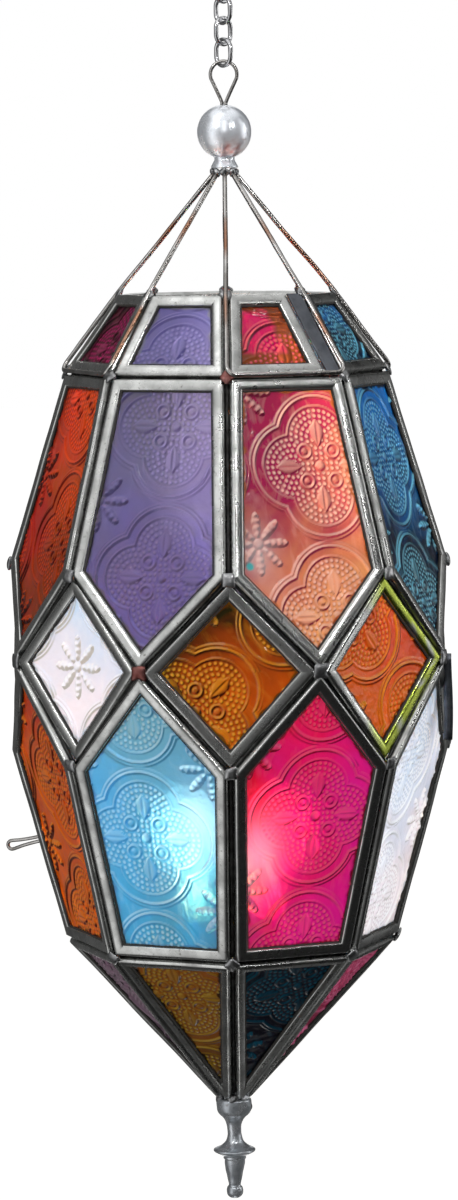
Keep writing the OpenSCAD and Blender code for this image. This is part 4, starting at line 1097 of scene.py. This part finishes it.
def make_candle():
    """The tealight: a ribbed foil cup with a rolled rim, wax hollowed by heat, the wick and the flame."""
    profile = rounded([
        (CUP_R - 2.0, 0.0), (CUP_R - 0.9, 0.25), (CUP_R - 0.5, 1.2), (CUP_R - 0.45, CUP_H - 1.4),
        (CUP_R - 0.05, CUP_H - 0.5), (CUP_R - 0.2, CUP_H - 0.05), (CUP_R - 0.4, CUP_H - 0.45),
        (CUP_R - 0.72, CUP_H - 1.4), (CUP_R - 0.75, 1.4), (CUP_R - 2.2, CUP_T)], 4)
    shape = lathe_shape(profile + (0, CUP_Z), 96)
    a = np.arctan2(shape.points[:, 1], shape.points[:, 0])
    ribs = 1 - 0.0025 * (0.5 + 0.5 * np.cos(48 * a)) * step(CUP_H - 1.5 + CUP_Z - shape.points[:, 2], 0, 1)
    shape.points[:, :2] *= ribs[:, None]
    build("ribbed_tealight_cup", [shape], FOIL, "tealight", ["candle_cup"])

    wax_r = CUP_R - CUP_T - WAX_GAP
    profile = [(wax_r - 0.6, 0.1), (wax_r - 0.25, 0.5), (wax_r - 0.25, WAX_H - 0.5), (wax_r - 0.6, WAX_H),
               (wax_r - 1.4, WAX_H - 0.4), (11.0, WAX_H - 0.7), (7.5, WAX_H - 1.6), (3.0, WAX_H - 1.8),
               (0.75, WAX_H - 1.7)]
    shape = lathe_shape(rounded(profile, 4) + (0, WAX_Z), 64, 0.1, 5)
    build("tealight_wax", [shape], PARAFFIN, "tealight", ["candle_wax"])

    high = WAX_H + WICK_H
    path = rounded([(0, 0, WAX_H - 3), (0, 0, WAX_H + 1), (0.1, 0, WAX_H + 3.5), (0.02, 0, high - 0.35)], 6)
    path = path + (0, 0, WAX_Z)
    path[:, 0] = np.minimum(path[:, 0], 0.1)
    shape = wire_shape(path, 0.58, (0, 1, 0), 10)
    build("braided_wick", [shape], cotton(), "tealight", ["candle_wick"])

    flame = np.array([(0.6, 0.0), (1.6, 0.9), (2.9, 3.5), (3.7, 7.0), (3.6, 11.0), (2.7, 16.0), (1.5, 20.6),
                      (0.5, 24.4), (0.06, FLAME_H)])
    light = flame_light((FLAME_Z + FLAME_H + MID_Z) * MM, (FLAME_Z + MID_Z) * MM)
    shape = lathe_shape(rounded(flame, 4) + (0, FLAME_Z), 28)
    build("candle_flame", [shape], light, "tealight")


make_panes()
make_frames()
make_seams()
make_beads()
make_tab()
make_hanger()
make_neck_solder()
make_crown_strip()
make_eye()
make_ball()
make_chain()
make_finial()
make_handle()
make_candle()

# Nodes carried over from the frame, with the material of each
CARRIED = {"candle_plate": PLATE, "hinge_pin": WIRE, "door_knuckles": TINPLATE, "frame_knuckles": TINPLATE}
for name, material in CARRIED.items():
    slots = frame["nodes"][name].data.materials
    slots.clear()
    slots.append(material)


# Studio, in metres
SET_MIDDLE = -0.23  # height of the lantern's middle
TENT_R = 1.25
WHITE = linear("#ffffff")


def in_scene(name, data):
    """An object of that data, linked into the scene."""
    made = bpy.data.objects.new(name, data)
    bpy.context.scene.collection.objects.link(made)
    return made


def white_for_mirrors(tree):
    """1 for rays from the camera, mirrored by metal or let through by glass, so that they see white."""
    sees = add(tree, "ShaderNodeLightPath").outputs
    straight = {0: sees["Is Camera Ray"], 1: sees["Is Glossy Ray"]}
    either = add(tree, "ShaderNodeMath", straight, operation="MAXIMUM").outputs[0]
    through = {0: either, 1: sees["Is Transmission Ray"]}
    return add(tree, "ShaderNodeMath", through, operation="MAXIMUM").outputs[0]


def make_floor():
    """A wide, round, matt floor that glows white for the camera and for mirrors, most where it is far."""
    radius, height, count = 12.0, -0.75, 48
    material, tree = blank("matt_white_floor")
    body = add(tree, "ShaderNodeBsdfDiffuse", {"Color": linear("#ecebe8")})
    where = add(tree, "ShaderNodeTexCoord").outputs["Object"]
    far = add(tree, "ShaderNodeVectorMath", {0: where}, operation="LENGTH").outputs["Value"]
    span = {"Value": far, "From Min": 1.0, "From Max": 4.0, "To Min": 0.35, "To Max": 0.66}
    brightness = add(tree, "ShaderNodeMapRange", span).outputs[0]
    factors = {0: brightness, 1: white_for_mirrors(tree)}
    level = add(tree, "ShaderNodeMath", factors, operation="MULTIPLY").outputs[0]
    glow = add(tree, "ShaderNodeEmission", {"Color": WHITE, "Strength": level})
    both = add(tree, "ShaderNodeAddShader", {0: body.outputs[0], 1: glow.outputs[0]})
    add(tree, "ShaderNodeOutputMaterial", {"Surface": both.outputs[0]})
    a = np.arange(count) * 2 * np.pi / count
    rim = np.stack([radius * np.cos(a), radius * np.sin(a), np.full(count, height)], -1)
    mesh = bpy.data.meshes.new("studio_floor")
    mesh.from_pydata(rim.tolist(), [], [tuple(range(count))])
    mesh.materials.append(material)
    in_scene("studio_floor", mesh)


def make_tent():
    """A grey paper tent round the set that only mirrors see: light on the left and above, dark in front on
    the right and below, and open towards the white background. Each point's level is a sum of soft lobes of
    its azimuth and height."""
    rows, cols = 45, 121
    t, az = np.meshgrid(np.linspace(-88, 88, rows), np.linspace(-168, 168, cols), indexing="ij")
    high = np.where(t < 0, 0.5, 1.5) * sin(t)
    x, y = TENT_R * cos(t) * sin(az), -TENT_R * cos(t) * cos(az)
    points = np.stack([x, y, high + SET_MIDDLE], -1).reshape(-1, 3)
    el = np.degrees(np.arctan2(high, TENT_R * cos(t)))
    level = 0.015 + 1.05 * ridge(az, -52, 24) * step(el, -58, -36) + 0.08 * ridge(az, 0, 14)
    level += 3.0 * ridge(az, 0, 6) * step(el, 8, 14) * step(-el, -54, -46)
    level += 2.0 * ridge(az, 86, 5) * step(el, -12, -2) * step(-el, -50, -40)
    level += 0.8 * step(el, 44, 58) + 0.08 * step(-az, 90, 115) + 0.3 * ridge(az, 124, 9)
    mesh = bpy.data.meshes.new("mirror_tent")
    mesh.from_pydata(points.tolist(), [], grid_quads(rows, cols).tolist())
    layer = mesh.attributes.new("level", "FLOAT", "POINT")
    layer.data.foreach_set("value", np.clip(level, 0, 3.0).astype(np.float32).ravel())
    material, tree = blank("grey_tent_paper")
    shade = add(tree, "ShaderNodeAttribute", attribute_name="level").outputs["Fac"]
    paper = add(tree, "ShaderNodeEmission", {"Color": WHITE, "Strength": shade})
    add(tree, "ShaderNodeOutputMaterial", {"Surface": paper.outputs[0]})
    mesh.materials.append(material)
    tent = in_scene("mirror_tent", mesh)
    for sight in ("visible_camera", "visible_diffuse", "visible_transmission", "visible_shadow"):
        setattr(tent, sight, False)


def lamp(name, kind, at, power, colour="#ffffff", **settings):
    """A lamp at a place, in watts, turned towards the middle of the set."""
    light = bpy.data.lights.new(name, kind)
    light.energy, light.color = power, linear(colour)[:3]
    for key, value in settings.items():
        setattr(light, key, value)
    made = in_scene(name, light)
    made.location = at
    made.rotation_euler = (Vector((0, 0, SET_MIDDLE)) - Vector(at)).to_track_quat("-Z", "Y").to_euler()
    return made


def make_studio():
    """A pale room that mirrors see white, floor, tent, soft panels of light, and the candle's light."""
    world = bpy.data.worlds.new("pale_room")
    bpy.context.scene.world = world
    world.use_nodes = True
    tree = world.node_tree
    tree.nodes.clear()
    room, white = (add(tree, "ShaderNodeBackground", {"Color": WHITE, "Strength": strength}).outputs[0]
                   for strength in (0.5, 1.0))
    both = add(tree, "ShaderNodeMixShader", {0: white_for_mirrors(tree), 1: room, 2: white})
    add(tree, "ShaderNodeOutputWorld", {"Surface": both.outputs[0]})
    make_floor()
    make_tent()
    # Panels: place, watts, width, height, and whether metal mirrors them
    for name, at, power, wide, tall, mirrored in (
            ("soft_left", (-1.25, -1.15, -0.05), 30, 1.1, 1.7, False),
            ("soft_top", (-0.1, -0.2, 1.3), 14, 1.2, 1.2, False),
            ("soft_right", (1.2, -0.9, 0.1), 20, 1.0, 1.4, False),
            ("spark_left", (-0.5, -0.8, 0.5), 1.5, 0.08, 0.16, True),
            ("spark_right", (0.55, -0.75, 0.4), 1.8, 0.08, 0.16, True),
            ("rim_right", (1.1, 0.2, -0.1), 1.5, 0.1, 1.0, True)):
        panel = lamp(name, "AREA", at, power, shape="RECTANGLE", size=wide, size_y=tall)
        panel.visible_glossy = mirrored
    # Inside: height in mm from the widest ring, watts, colour, size, and the body that carries it
    for name, height, power, colour, size, body in (
            ("candle_light", FLAME_Z + 10, 1.2, "#ffdcb0", 0.004, "tealight"),
            ("candle_glow", FLAME_Z + 30, 0.036, "#ffe8c8", 0.015, "tealight"),
            ("light_inside", 35, 2.2, "#fff4e8", 0.012, "lantern")):
        light = lamp(name, "POINT", (0, 0, (height + MID_Z) * MM), power, colour, shadow_soft_size=size)
        light.parent = frame["bodies"][body]
        light.visible_camera = light.visible_glossy = False
        light.visible_transmission = name == "candle_glow"


def make_camera():
    """The photograph's view, solved from the lantern's corners: above its middle, looking slightly down."""
    pitch, roll, lens_mm, film_mm = -0.0948, 0.0102, 85.9035, 24.0
    distance, height_mm = 1.40086, 149.445
    camera = bpy.data.cameras.new("photo_camera")
    camera.sensor_fit, camera.sensor_height, camera.lens = "VERTICAL", film_mm, lens_mm
    made = in_scene("photo_camera", camera)
    forward = np.array([0, math.cos(pitch), math.sin(pitch)])
    level = np.array([0, -math.sin(pitch), math.cos(pitch)])
    right = math.cos(roll) * np.array([1, 0, 0]) - math.sin(roll) * level
    up = math.sin(roll) * np.array([1, 0, 0]) + math.cos(roll) * level
    m = np.eye(4)
    m[:3, 0], m[:3, 1], m[:3, 2], m[:3, 3] = right, up, -forward, (0, -distance, (MID_Z + height_mm) * MM)
    made.matrix_world = Matrix(m.tolist())
    bpy.context.scene.camera = made


make_studio()
make_camera()
bpy.context.scene.view_settings.view_transform = "Standard"
